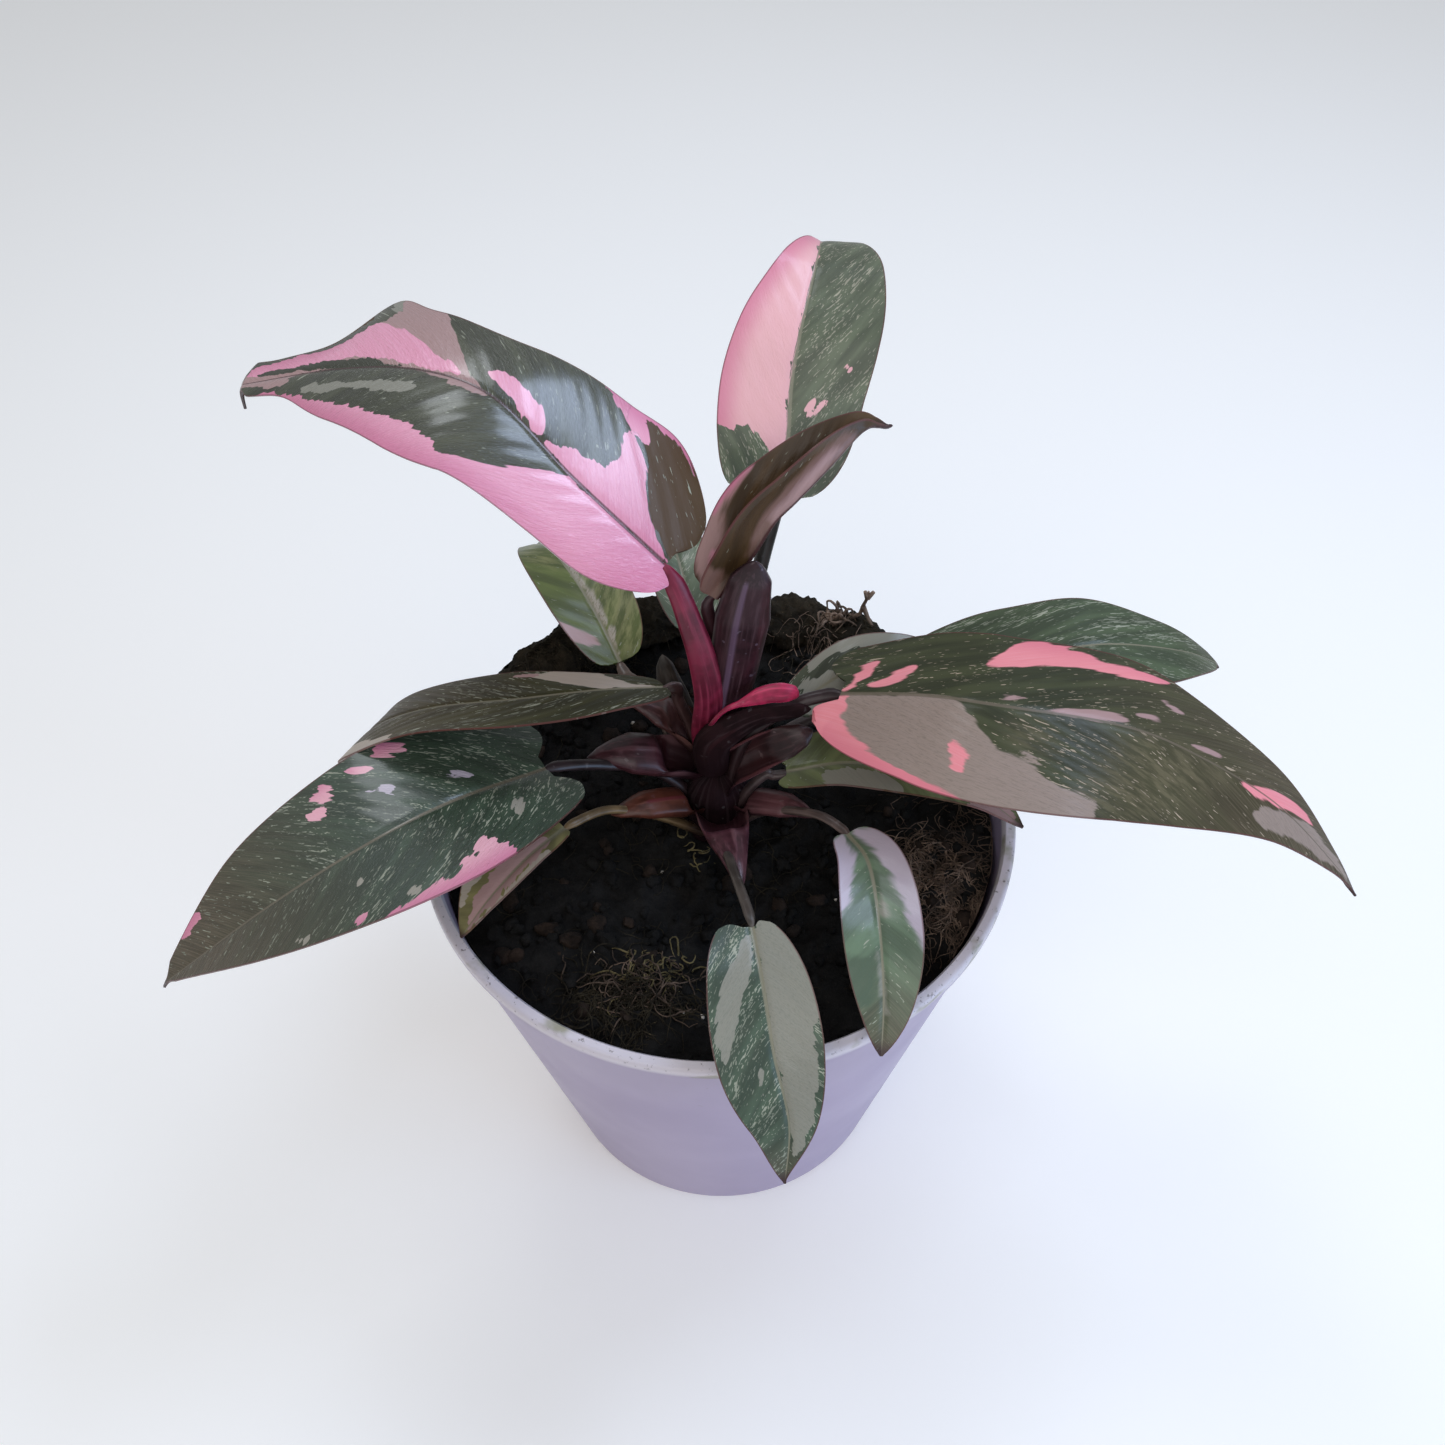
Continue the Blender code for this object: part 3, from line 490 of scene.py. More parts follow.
class LeafSettings(bpy.types.PropertyGroup):
    pink: tint("Pink", "Cool pink of the sectors", (0.80, 0.33, 0.46))
    salmon: tint("Salmon", "Warm pink of the sectors", (0.82, 0.26, 0.29))
    blush: tint("Blush", "Greyish pink between the sectors", (0.40, 0.25, 0.24))
    pale: tint("Pale", "Grey beige patches", (0.265, 0.255, 0.205))
    beige: tint("Beige", "Patches beside the warm pink", (0.315, 0.24, 0.20))
    lilac: tint("Lilac", "Whitish lilac patches", (0.46, 0.39, 0.45))
    olive: tint("Olive", "Brown green of young tissue", (0.070, 0.032, 0.005))
    mauve: tint("Mauve", "Brownish pink of the youngest leaf", (0.19, 0.105, 0.085))
    fleck: tint("Fleck", "Pale flecks in the green", (0.36, 0.37, 0.28))
    margin: tint("Margin", "Thin dark line round a blade", (0.12, 0.036, 0.034))
    drip_tip: tint("Drip tip", "Colour of the tips", (0.035, 0.012, 0.014))
    underside: tint("Underside", "Colour that veils the undersides", (0.20, 0.14, 0.12))
    edge: bpy.props.FloatProperty(
        name="Ragged edge", description="How far a sector's edge strays, in millimetres", default=2.2)


class StemSettings(bpy.types.PropertyGroup):
    # The rootstock colour is nearly black: painted shade in the crown's pit, which also darkens the
    # stalks towards the crown
    root: tint("Rootstock", "Colour of the crown's core", (0.014, 0.005, 0.007))
    gloss: bpy.props.FloatProperty(
        name="Gloss", description="Roughness of the smooth skin", default=0.3, min=0, max=1)


class StageSettings(bpy.types.PropertyGroup):
    floor: tint("Floor", "Colour of the floor", (0.97, 0.95, 0.92))
    key: bpy.props.FloatProperty(
        name="Key light", description="Power of the key light", default=2.5, unit="POWER")
    fill: bpy.props.FloatProperty(
        name="Fill light", description="Power of the fill light", default=2.2, unit="POWER")
    sky: bpy.props.FloatProperty(
        name="Sky", description="Strength of the surrounding light", default=0.42)


class Finish:
    """A node material under construction, on a Principled shader."""

    def __init__(self, name):
        self.material = bpy.data.materials.new(name)
        self.material.use_nodes = True
        self.tree = self.material.node_tree
        self.shader = self.tree.nodes["Principled BSDF"]
        self.coordinates = self.node("TexCoord").outputs["Object"]

    def node(self, kind, inputs=None, **settings):
        made = self.tree.nodes.new("ShaderNode" + kind)
        for key, value in settings.items():
            setattr(made, key, value)
        for key, value in (inputs or {}).items():
            self.put(made.inputs[key], value)
        return made

    def put(self, socket, value):
        if isinstance(value, bpy.types.NodeSocket):
            self.tree.links.new(value, socket)
        else:
            socket.default_value = value

    def shade(self, name, value):
        """Sets or links one input of the shader."""
        self.put(self.shader.inputs[name], value)

    def math(self, operation, a, b=0.0):
        return self.node("Math", {0: a, 1: b}, operation=operation).outputs[0]

    def plus(self, a, b):
        return self.math("ADD", a, b)

    def minus(self, a, b):
        return self.math("SUBTRACT", a, b)

    def times(self, a, b):
        return self.math("MULTIPLY", a, b)

    def ramp(self, value, low, high, start=0.0, end=1.0):
        """A smooth step of value from start to end between low and high."""
        made = self.node("MapRange", {"Value": value, "From Min": low, "From Max": high, "To Min": start,
                                      "To Max": end}, interpolation_type="SMOOTHSTEP")
        return made.outputs["Result"]

    def mix(self, share, a, b):
        made = self.node("Mix", data_type="RGBA")
        self.put(made.inputs[0], share)
        self.put(made.inputs[6], a if isinstance(a, bpy.types.NodeSocket) else (*a, 1))
        self.put(made.inputs[7], b if isinstance(b, bpy.types.NodeSocket) else (*b, 1))
        return made.outputs[2]

    def attribute(self, name, output="Fac"):
        return self.node("Attribute", attribute_name=name).outputs[output]

    def stretched(self, vector, x, y, z=1.0):
        return self.node("VectorMath", {0: vector, 1: (x, y, z)}, operation="MULTIPLY").outputs[0]

    def noise(self, vector, scale, detail=3.0, roughness=0.55):
        return self.node("TexNoise", {"Vector": vector, "Scale": scale, "Detail": detail,
                                      "Roughness": roughness}).outputs["Fac"]

    def bump(self, height, distance, strength=1.0):
        made = self.node("Bump", {"Height": height, "Distance": distance, "Strength": strength})
        self.shade("Normal", made.outputs["Normal"])


def spline(points, count):
    """Points at even distances along a smooth curve through the given ones, with its length."""
    given = np.array(points, float)
    given = np.vstack([2 * given[0] - given[1], given, 2 * given[-1] - given[-2]])
    steps = np.linspace(0, 1, 40, endpoint=False)[:, None]
    runs = []
    for a, b, c, d in zip(given, given[1:], given[2:], given[3:]):
        runs.append(0.5 * (2 * b + (c - a) * steps + (2 * a - 5 * b + 4 * c - d) * steps ** 2
                           + (3 * b - a - 3 * c + d) * steps ** 3))
    fine = np.vstack(runs + [given[-2][None]])
    along = np.concatenate([[0], np.cumsum(np.linalg.norm(np.diff(fine, axis=0), axis=1))])
    places = np.linspace(0, along[-1], count)
    return np.stack([np.interp(places, along, fine[:, k]) for k in range(3)], axis=1), along[-1]


def unit(vectors):
    return vectors / np.linalg.norm(vectors, axis=-1, keepdims=True)


def carried_frames(points, facing, roll=(0, 0)):
    """Directions along a curve, out of its upper face and to its left, carried along without twist."""
    along = unit(np.gradient(points, axis=0))
    normals = np.zeros_like(points)
    normal = np.array(facing, float)
    for i in range(len(points)):
        normal = unit(normal - (normal @ along[i]) * along[i])
        normals[i] = normal
    left = np.cross(normals, along)
    turn = np.radians(np.linspace(roll[0], roll[1], len(points)))[:, None]
    cos, sin = np.cos(turn), np.sin(turn)
    return along, normals * cos + left * sin, left * cos - normals * sin


def sample(values, places):
    """Values between the rows of a table, at fractional row numbers."""
    low = np.clip(places.astype(int), 0, len(values) - 2)
    share = (places - low)[:, None]
    return values[low] * (1 - share) + values[low + 1] * share


def per_half(pair, right):
    return np.where(right, pair[1], pair[0])


def half_width(leaf, u, right):
    """The width of each half at the share u of the midrib, in millimetres."""
    base, widest, taper = (per_half(pair, right) for pair in (leaf.base, leaf.widest, leaf.taper))
    rise = base + (1 - base) * np.sqrt(np.clip(1 - ((widest - u) / widest) ** 2, 0, 1))
    fall = np.clip(1 - ((u - widest) / (1 - widest)) ** 2, 0, 1) ** taper
    width = per_half(leaf.width, right) * np.where(u < widest, rise, fall)
    for half, place, reach, share in leaf.trims:
        width = width * (1 + share * (right == (half > 0)) * np.exp(-((u - place) / reach) ** 2))
    if leaf.hook > 0:
        width = width * (1 - 0.65 * np.clip((u - leaf.tip) / (0.5 - 0.5 * leaf.tip), 0, 1))
    return np.maximum(width, 0.25)


def blade_surface(leaf, u, v):
    """The upper face in millimetres at u along the midrib and v across, with its pattern's distances."""
    count = 200
    points, length = spline(leaf.midrib, count)
    along, normals, left = carried_frames(points, leaf.facing, leaf.roll)
    right = v >= 0
    out = np.abs(v)
    reach = np.maximum(0, out - 0.35) / 0.65
    lobe = per_half(leaf.lobe, right) * (1 - u) ** 8 * np.sin(0.62 * np.pi * reach)
    place = u * length - lobe
    rows = np.clip(place, 0, length) / length * (count - 1)
    centre = sample(points, rows) + np.minimum(place, 0)[:, None] * along[0]
    normal, sideways = sample(normals, rows), sample(left, rows)
    fold_tip = leaf.fold_tip or leaf.fold
    fold = np.radians(per_half(leaf.fold, right) * (1 - u) + per_half(fold_tip, right) * u)
    curl = np.radians(per_half(leaf.curl, right))
    curl = np.where(np.abs(curl) < 1e-3, 1e-3, curl)
    width = half_width(leaf, u, right)
    across = width * (np.sin(fold + curl * out) - np.sin(fold)) / curl
    rise = width * (np.cos(fold) - np.cos(fold + curl * out)) / curl
    distance = width * out
    origin = u * length - leaf.slant * distance - VEIN_BEND * distance ** 2
    room = np.clip(distance / 3, 0, 1) * (1 - out ** 4) * np.clip((1 - u) * 5, 0, 1)
    veins = VEIN_HEIGHT * np.cos(2 * np.pi * origin / VEIN_SPACING) * room
    groove = -MIDRIB_GROOVE * np.exp(-(distance / 0.8) ** 2) * np.clip((1 - u) * 6, 0, 1)
    turns = 2 * np.pi * (0.021 * length * u + 0.31 * right + 0.013 * length)
    wave = leaf.wave * out ** 2 * np.sin(turns) * np.clip(u * 6, 0, 1) * np.clip((1 - u) * 4, 0, 1)
    tip = 0.7 - 0.7 * leaf.tip
    height = rise + veins + groove + wave - leaf.hook * np.clip((u - 1 + tip) / tip, 0, 1) ** 2
    place_mm = centre + np.where(right, -across, across)[:, None] * sideways + height[:, None] * normal
    reach_on = leaf.stretch * np.clip((u - 0.8) / 0.15, 0, 1) ** 2
    place_mm = place_mm + reach_on[:, None] * sample(along, rows)
    return place_mm, length, distance, origin, width * (1 - out)


def rounded(outline, rounds=2):
    """An outline with its corners cut, so that few points give a soft shape."""
    points = np.array(outline, float)
    for _ in range(rounds):
        after = np.roll(points, -1, axis=0)
        points = np.stack([0.75 * points + 0.25 * after, 0.25 * points + 0.75 * after], 1).reshape(-1, 2)
    return points


def inside_distance(outline, x, y):
    """Signed distance to a closed outline, above zero inside it."""
    best = np.full(len(x), 1e9)
    inside = np.zeros(len(x), bool)
    for (ax, ay), (bx, by) in zip(outline, np.roll(outline, -1, axis=0)):
        dx, dy = bx - ax, by - ay
        share = np.clip(((x - ax) * dx + (y - ay) * dy) / (dx * dx + dy * dy + 1e-12), 0, 1)
        best = np.minimum(best, np.hypot(x - ax - share * dx, y - ay - share * dy))
        crosses = (ay > y) != (by > y)
        inside ^= crosses & (x < ax + (y - ay) * dx / (dy if abs(dy) > 1e-12 else 1e-12))
    return np.where(inside, best, -best)


def fresh():
    """Nothing selected, and object mode."""
    if bpy.context.object and bpy.context.object.mode != "OBJECT":
        bpy.ops.object.mode_set(mode="OBJECT")
    bpy.ops.object.select_all(action="DESELECT")


def active(obj):
    fresh()
    obj.select_set(True)
    bpy.context.view_layer.objects.active = obj
    return obj


def coordinates(obj):
    values = np.empty(3 * len(obj.data.vertices), np.float32)
    obj.data.vertices.foreach_get("co", values)
    return values.reshape(-1, 3).astype(float)


def move_points(obj, places_mm):
    obj.data.vertices.foreach_set("co", (places_mm * MM).astype(np.float32).ravel())
    obj.data.update()


def add_numbers(obj, name, values, kind="FLOAT"):
    layer = obj.data.attributes.new(name, kind, "POINT")
    field_name = "value" if kind == "FLOAT" else "vector"
    layer.data.foreach_set(field_name, np.asarray(values, np.float32).ravel())


def grid(name, rows, columns):
    """A grid primitive with its two grid coordinates, each from 0 to 1."""
    fresh()
    bpy.ops.mesh.primitive_grid_add(x_subdivisions=rows, y_subdivisions=columns, size=2)
    obj = bpy.context.object
    obj.name = obj.data.name = name
    places = coordinates(obj)
    return obj, (places[:, 0] + 1) / 2, (places[:, 1] + 1) / 2


def round_grid(name, rows, around):
    """A grid to bend round, with each point's row and its angle."""
    obj, u, v = grid(name, rows, around)
    return obj, np.rint(u * rows).astype(int), 2 * math.pi * np.rint(v * around) / around


def turned(radius, angle, height):
    """Points at a radius, an angle and a height."""
    return np.stack([radius * np.cos(angle), radius * np.sin(angle), height], 1)


def join_seam(obj):
    """Closes a grid that was bent round, at its seam and its ends, and turns its faces out."""
    active(obj)
    bpy.ops.object.mode_set(mode="EDIT")
    bpy.ops.mesh.select_all(action="SELECT")
    bpy.ops.mesh.remove_doubles(threshold=0.02 * MM)
    bpy.ops.mesh.fill_holes(sides=0)
    bpy.ops.mesh.normals_make_consistent(inside=False)
    bpy.ops.object.mode_set(mode="OBJECT")


def finish_piece(obj, nodes, finish, angle=60):
    """Shades a piece, hides the parts that it stands for, and says where it rides."""
    if finish:
        obj.data.materials.clear()
        obj.data.materials.append(finish)
    active(obj)
    bpy.ops.object.shade_smooth_by_angle(angle=math.radians(angle))
    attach(obj, "root")
    if nodes:
        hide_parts(*nodes)
    return obj


def between(share, first, second):
    """The colour at a share of the way from one colour to another."""
    return tuple((1 - share) * a + share * b for a, b in zip(first, second))


def scaled(factor, colour):
    """A colour made darker or lighter."""
    return tuple(factor * c for c in colour)


# A blade's ground colours, each in its dark and its light streaks
AGED_GREEN = (0.070, 0.051, 0.028), (0.145, 0.108, 0.068)
SAGE = (0.075, 0.068, 0.034), (0.18, 0.15, 0.085)
CHALKY_SAGE = (0.10, 0.125, 0.03), (0.37, 0.36, 0.15)
# Shades of its flecks, patches, pink sectors and midrib
WARM_FLECK = (0.47, 0.37, 0.27)
CHALKY_PALE = (0.47, 0.40, 0.33)
PALE_STREAK = (0.05, 0.05, 0.04)
LIGHT_PINK = (0.84, 0.39, 0.52)
LIGHT_SALMON = (0.84, 0.31, 0.34)
CHALKY_PINK = (0.86, 0.55, 0.49)
BASE_PINK = (0.58, 0.14, 0.28)
# Darker pinks for the margin: painted shade where the blade bends down
SHADED_MARGIN_PINK = (0.62, 0.17, 0.30)
SHADED_MARGIN_SALMON = (0.72, 0.20, 0.25)
PALE_RIB = (0.24, 0.22, 0.15)
MAROON_RIB = (0.05, 0.012, 0.014)
# Dashes, dots and blots: waves a millimetre along and across the veins, a factor that gives each kind
# its own pattern, detail, roughness, the levels where a fleck starts and is full, and its strength
FLECKS = (
    (0.40, 1.35, 1.3, 1.0, 0.55, 0.765, 0.785, 1.0),
    (0.9, 1.35, 1.7, 1.0, 0.55, 0.775, 0.80, 0.85),
    (0.26, 0.62, 2.3, 2.0, 0.6, 0.80, 0.815, 0.9))


def leaf_finish(name, leaf, underside):
    """The blade's colours: sectors with ragged edges along the veins, flecks, midrib and margin."""
    look = bpy.context.scene.leaf_settings
    make = Finish(name)
    flow = make.attribute("flow", "Vector")
    margin = make.attribute("margin")
    aged = make.attribute("aged")

    def veined(x, y, z=1.0, detail=2.0, roughness=0.55):
        """Noise with x waves a millimetre along the veins and y waves across them."""
        return make.noise(make.stretched(flow, x, y, z), 1.0, detail, roughness)

    shade = veined(0.05, 0.16)
    streak = veined(0.10, 2.2)
    torn = make.ramp(veined(0.06, 0.11, detail=1.0), 0.42, 0.62, 0.1, 1.6)
    strands = make.times(make.minus(veined(0.10, 0.24), 0.5), 2.4 * look.edge)
    frays = make.minus(veined(0.45, 0.9, detail=3.0), 0.5)
    ragged = make.plus(strands, make.times(frays, make.times(torn, 0.6 * look.edge)))
    ragged = make.times(ragged, leaf.ragged)

    def masked(kind):
        """Where one kind of mark lies, with its ragged edge."""
        return make.ramp(make.math("DIVIDE", make.plus(make.attribute(kind), ragged), leaf.soft), -1, 1)

    bright = make.node("HueSaturation", {"Value": 1.75, "Saturation": 1.05, "Color": (*leaf.green, 1)})
    bright = bright.outputs["Color"]
    colour = make.mix(make.ramp(shade, 0.38, 0.68), leaf.green, bright)
    colour = make.mix(make.ramp(streak, 0.5, 0.75, 0, 0.35), colour, bright)
    brown = make.mix(make.ramp(streak, 0.35, 0.7), *AGED_GREEN)
    colour = make.mix(make.times(aged, 0.85), colour, brown)
    cloudy = make.ramp(veined(0.20, 0.40, detail=4.0, roughness=0.65), 0.40, 0.62)
    sage = make.mix(leaf.chalk, make.mix(cloudy, *SAGE), make.mix(cloudy, *CHALKY_SAGE))
    straw = make.ramp(make.plus(make.attribute("straw"), ragged), -6, 5)
    colour = make.mix(make.times(straw, 0.6), colour, sage)
    olive = masked("olive")
    colour = make.mix(olive, colour, look.olive)

    density = make.times(leaf.flecks, make.ramp(aged, 0, 1, 1.0, 0.7))
    patchy = make.ramp(veined(0.05, 0.09, detail=1.0), 0.35, 0.65, 0.5, 1.2)
    level = make.times(make.times(density, patchy), 0.135)
    speck = 0.0
    for x, y, own, detail, roughness, low, high, strength in FLECKS:
        raised = make.plus(veined(x, y, own, detail, roughness), level)
        speck = make.math("MAXIMUM", speck, make.ramp(raised, low, high, 0, strength))
    fleck = between(leaf.warm, look.fleck, WARM_FLECK)
    fleck = make.mix(make.ramp(shade, 0.4, 0.65, 0.5, 0), fleck, leaf.green)
    colour = make.mix(speck, colour, fleck)

    colour = make.mix(masked("mauve"), colour, look.mauve)
    pale = between(leaf.chalk, between(leaf.warm, look.pale, look.beige), CHALKY_PALE)
    pale = make.mix(make.ramp(streak, 0.3, 0.75, 0, 0.12), pale, PALE_STREAK)
    grains = make.ramp(veined(0.8, 1.9, detail=3.0, roughness=0.7), 0.50, 0.62)
    covers = make.minus(1.0, make.times(grains, leaf.mottle))
    colour = make.mix(make.times(masked("pale"), covers), colour, pale)
    colour = make.mix(masked("blush"), colour, look.blush)
    colour = make.mix(masked("lilac"), colour, look.lilac)

    light = make.ramp(streak, 0.35, 0.8)
    cool, salmon = make.mix(light, look.pink, LIGHT_PINK), make.mix(light, look.salmon, LIGHT_SALMON)
    pink = make.mix(leaf.chalk, make.mix(leaf.warm, cool, salmon), CHALKY_PINK)
    pink = make.mix(make.ramp(make.attribute("along_blade"), 0.0, 0.22, leaf.deep, 0), pink, BASE_PINK)
    # The pink deepens towards the margin as painted shade where the blade bends down
    margin_shade_pink = between(leaf.warm, SHADED_MARGIN_PINK, SHADED_MARGIN_SALMON)
    pink = make.mix(make.ramp(margin, 0.0, 6.5, 0.8, 0), pink, margin_shade_pink)
    colour = make.mix(masked("pink"), colour, pink)
    colour = make.mix(masked("dark"), colour, leaf.green)

    rib = make.ramp(make.attribute("rib_distance"), 0.25, 0.6, 0.85, 0)
    colour = make.mix(rib, colour, between(leaf.rib, PALE_RIB, MAROON_RIB))
    colour = make.mix(make.ramp(margin, 0.12, 0.4, 0.7, 0), colour, look.margin)
    colour = make.mix(make.ramp(make.attribute("tip"), 0.3, 0.9, 0, 0.9), colour, look.drip_tip)
    if underside:
        colour = make.mix(0.8 if leaf.slot.startswith("olive") else 0.45, colour, look.underside)
    make.shade("Base Color", colour)

    shine = make.times(leaf.shine, make.minus(1.0, make.times(olive, 0.9)))
    uneven = make.ramp(veined(0.12, 1.6), 0.3, 0.7, -0.05, 0.06)
    make.shade("Roughness", make.plus(make.ramp(shine, 0.0, 1.0, 0.48, 0.27), uneven))
    make.shade("Specular IOR Level", 0.12 + 0.38 * leaf.shine * leaf.shine * (3 - 2 * leaf.shine))
    make.shade("Coat Weight", make.times(shine, 0.1 if underside else 0.9))
    make.shade("Coat Roughness", 0.18)
    ribs = make.times(veined(0.05, 5.5), make.ramp(shine, 0.0, 1.0, 0.35, 1.0))
    crinkle = make.times(veined(0.7, 1.1, detail=3.0), make.ramp(shine, 0.0, 1.0, 0, 5.5))
    pores = make.times(veined(2.2, 3.4), 0.3)
    make.bump(make.plus(make.plus(ribs, crinkle), pores), 0.12 * MM, 0.55)
    return make.material


def stem_finish(name, skin, rim, dull=False):
    """Smooth petiole skin with fine lines along it and lighter edges, its ridges lightened as a painted
    highlight and its colour darkened towards the crown as painted shade.
    """
    look = bpy.context.scene.stem_settings
    make = Finish(name)
    along = make.attribute("along", "Vector")
    lines = make.noise(make.stretched(along, 0.35, 9.0, 9.0), 1.0, 3.0)
    patches = make.noise(make.stretched(along, 2.0, 1.5), 1.0, 3.0)
    specks = make.noise(make.stretched(along, 5.0, 4.0, 4.0), 1.0, 1.0)
    light = tuple(1.5 * c + 0.015 for c in skin)
    speck = tuple(0.5 * c + 0.08 for c in rim)
    colour = make.mix(make.ramp(patches, 0.36, 0.62), scaled(0.55, skin), skin)
    colour = make.mix(make.ramp(lines, 0.48, 0.7, 0, 0.7), colour, light)
    colour = make.mix(make.ramp(specks, 0.70, 0.74, 0, 0.35), colour, speck)
    colour = make.mix(make.ramp(make.attribute("rim"), 0.3, 0.9, 0, 0.9), colour, rim)
    # Painted shade: the skin darkens to the rootstock colour towards the crown
    crown_shade = make.node("SeparateXYZ", {0: along}).outputs["X"]
    make.shade("Base Color", make.mix(make.ramp(crown_shade, 0.2, 1.5, 0.85, 0), colour, look.root))
    gloss = 0.75 if dull else look.gloss
    make.shade("Roughness", make.ramp(lines, 0.3, 0.8, gloss, gloss + 0.15))
    make.shade("Specular IOR Level", 0.1 if dull else 0.4)
    make.bump(lines, 0.10 * MM, 0.5)
    return make.material


def soil_finish(name, colour, accent, accent_share):
    """Moist crumbly ground with lighter fibres."""
    make = Finish(name)
    coarse = make.noise(make.coordinates, 160.0, 6.0, 0.7)
    fine = make.noise(make.coordinates, 900.0, 4.0, 0.7)
    tone = make.mix(make.ramp(coarse, 0.35, 0.7), scaled(0.55, colour), scaled(2.0, colour))
    make.shade("Base Color", make.mix(make.ramp(fine, 0.62, 0.72, 0, accent_share), tone, accent))
    make.shade("Roughness", make.ramp(coarse, 0.3, 0.7, 0.75, 1.0))
    make.shade("Specular IOR Level", 0.15)
    make.bump(make.plus(coarse, make.times(fine, 0.4)), 1.2 * MM)
    return make.material


def pot_finish():
    """Thin white plastic with faint moulding marks, stained at the rim; its colour is darkened and tinted
    lilac as painted shade, and its bead is lighter as a painted highlight.
    """
    look = bpy.context.scene.pot_settings
    make = Finish("white_plastic")
    height = make.node("SeparateXYZ", {0: make.coordinates}).outputs["Z"]

    def above(low, high, share=1.0):
        """Where the wall is higher than low, and in full from high, in millimetres."""
        return make.ramp(height, low * MM, high * MM, 0, share)

    cloud = make.noise(make.coordinates, 22.0, 3.0)
    smear = make.noise(make.stretched(make.coordinates, 1.0, 1.0, 3.0), 60.0, 4.0)
    soiled = make.ramp(make.noise(make.coordinates, 760.0, 4.0, 0.7), 0.60, 0.68, 0, 0.7)
    splash = make.ramp(make.noise(make.coordinates, 240.0, 3.0), 0.70, 0.74, 0, 0.5)
    stained = make.times(make.ramp(smear, 0.53, 0.66), above(127, 134, 0.85))
    # The plastic colour carries painted shade over the whole wall
    colour = make.mix(make.ramp(cloud, 0.3, 0.7), look.plastic, scaled(0.93, look.plastic))
    # Painted highlight: the bead at the top of the rim is lighter than the wall
    colour = make.mix(above(130.5, 132.5, 0.6), colour, look.bead)
    colour = make.mix(stained, colour, look.stain)
    colour = make.mix(make.times(soiled, above(131.5, 133.5)), colour, look.specks)
    colour = make.mix(make.times(splash, above(90, 130)), colour, look.splash)
    make.shade("Base Color", colour)
    make.shade("Roughness", make.ramp(cloud, 0.3, 0.7, 0.36, 0.46))
    make.shade("Specular IOR Level", 0.45)
    make.shade("Subsurface Weight", 0.15)
    make.shade("Subsurface Radius", (0.004, 0.004, 0.005))
    make.bump(make.noise(make.coordinates, 1400.0, 2.0), 0.02 * MM, 0.5)
    return make.material


def pot_profile():
    """The wall's outline from the floor's middle up the inside, over the bead and back below."""
    inner = POT_RIM_RADIUS - LIP_WIDTH - POT_WALL
    outer = POT_RIM_RADIUS - LIP_WIDTH
    inner_base = POT_BASE_RADIUS - POT_WALL
    lip = POT_HEIGHT - LIP_HEIGHT
    bead = [(POT_RIM_RADIUS - BEAD_RADIUS + BEAD_RADIUS * math.cos(a),
             POT_HEIGHT - BEAD_RADIUS + BEAD_RADIUS * math.sin(a))
            for a in np.linspace(math.pi / 2, 0, 6)]
    foot = [(POT_BASE_RADIUS - FOOT_RADIUS + FOOT_RADIUS * math.cos(a),
             FOOT_RADIUS - FOOT_RADIUS * math.sin(a))
            for a in np.linspace(0, math.pi / 2, 7)]
    inside = [(inner_base + (inner - inner_base) * t, WALL_START + (lip - WALL_START) * t)
              for t in (0.25, 0.5, 0.75, 1.0)]
    outside = [(outer + (POT_BASE_RADIUS - outer) * t, lip - 0.5 + (WALL_START - lip) * t)
               for t in (0.25, 0.5, 0.75)]
    return np.array(
        [(0.01, POT_WALL), (25, POT_WALL), (inner_base - 2, POT_WALL), (inner_base, WALL_START)]
        + inside + [(inner + 0.3, POT_HEIGHT - 0.8), (inner + 0.9, POT_HEIGHT)] + bead
        + [(POT_RIM_RADIUS, lip + 0.9), (POT_RIM_RADIUS - 0.4, lip + 0.2)]
        + [(outer + 0.4, lip), (outer, lip - 0.5)]
        + outside + foot + [(25, 0), (0.01, 0)])


class PHILODENDRON_OT_pot(bpy.types.Operator):
    """Turn the pot's wall, bead and floor, and drill its drain holes"""
    bl_idname = "philodendron.pot"
    bl_label = "Pot"

    def execute(self, context):
        profile = pot_profile()
        segments = context.scene.pot_settings.segments
        pot, ring, angle = round_grid("nursery_pot", len(profile) - 1, segments)
        radius, height = profile[ring].T
        move_points(pot, turned(radius, angle, height))
        join_seam(pot)
        for i in range(DRAIN_HOLES):
            turn = 2 * math.pi * i / DRAIN_HOLES
            fresh()
            bpy.ops.mesh.primitive_cylinder_add(
                vertices=32, radius=DRAIN_HOLE_RADIUS * MM, depth=12 * MM,
                location=DRAIN_CIRCLE_RADIUS * MM * Vector((math.cos(turn), math.sin(turn), 0)))
            drill = bpy.context.object
            active(pot)
            cut = pot.modifiers.new("drain_hole", "BOOLEAN")
            cut.operation = "DIFFERENCE"
            cut.object = drill
            bpy.ops.object.modifier_apply(modifier=cut.name)
            bpy.data.objects.remove(drill)
        finish_piece(pot, ["pot"], pot_finish(), 40)
        return {"FINISHED"}


def soil_height(x, y):
    """The height of the soil's surface, lumpy and higher in its mounds."""
    lumps = 0.8 * np.sin(0.31 * x + 1.1) * np.cos(0.27 * y) + 0.5 * np.sin(0.55 * y - 0.4 * x)
    mounds = sum(high * np.exp(-((x - mx) ** 2 + (y - my) ** 2) / spread ** 2)
                 for mx, my, high, spread in MOUNDS)
    return SOIL_LEVEL + lumps + mounds


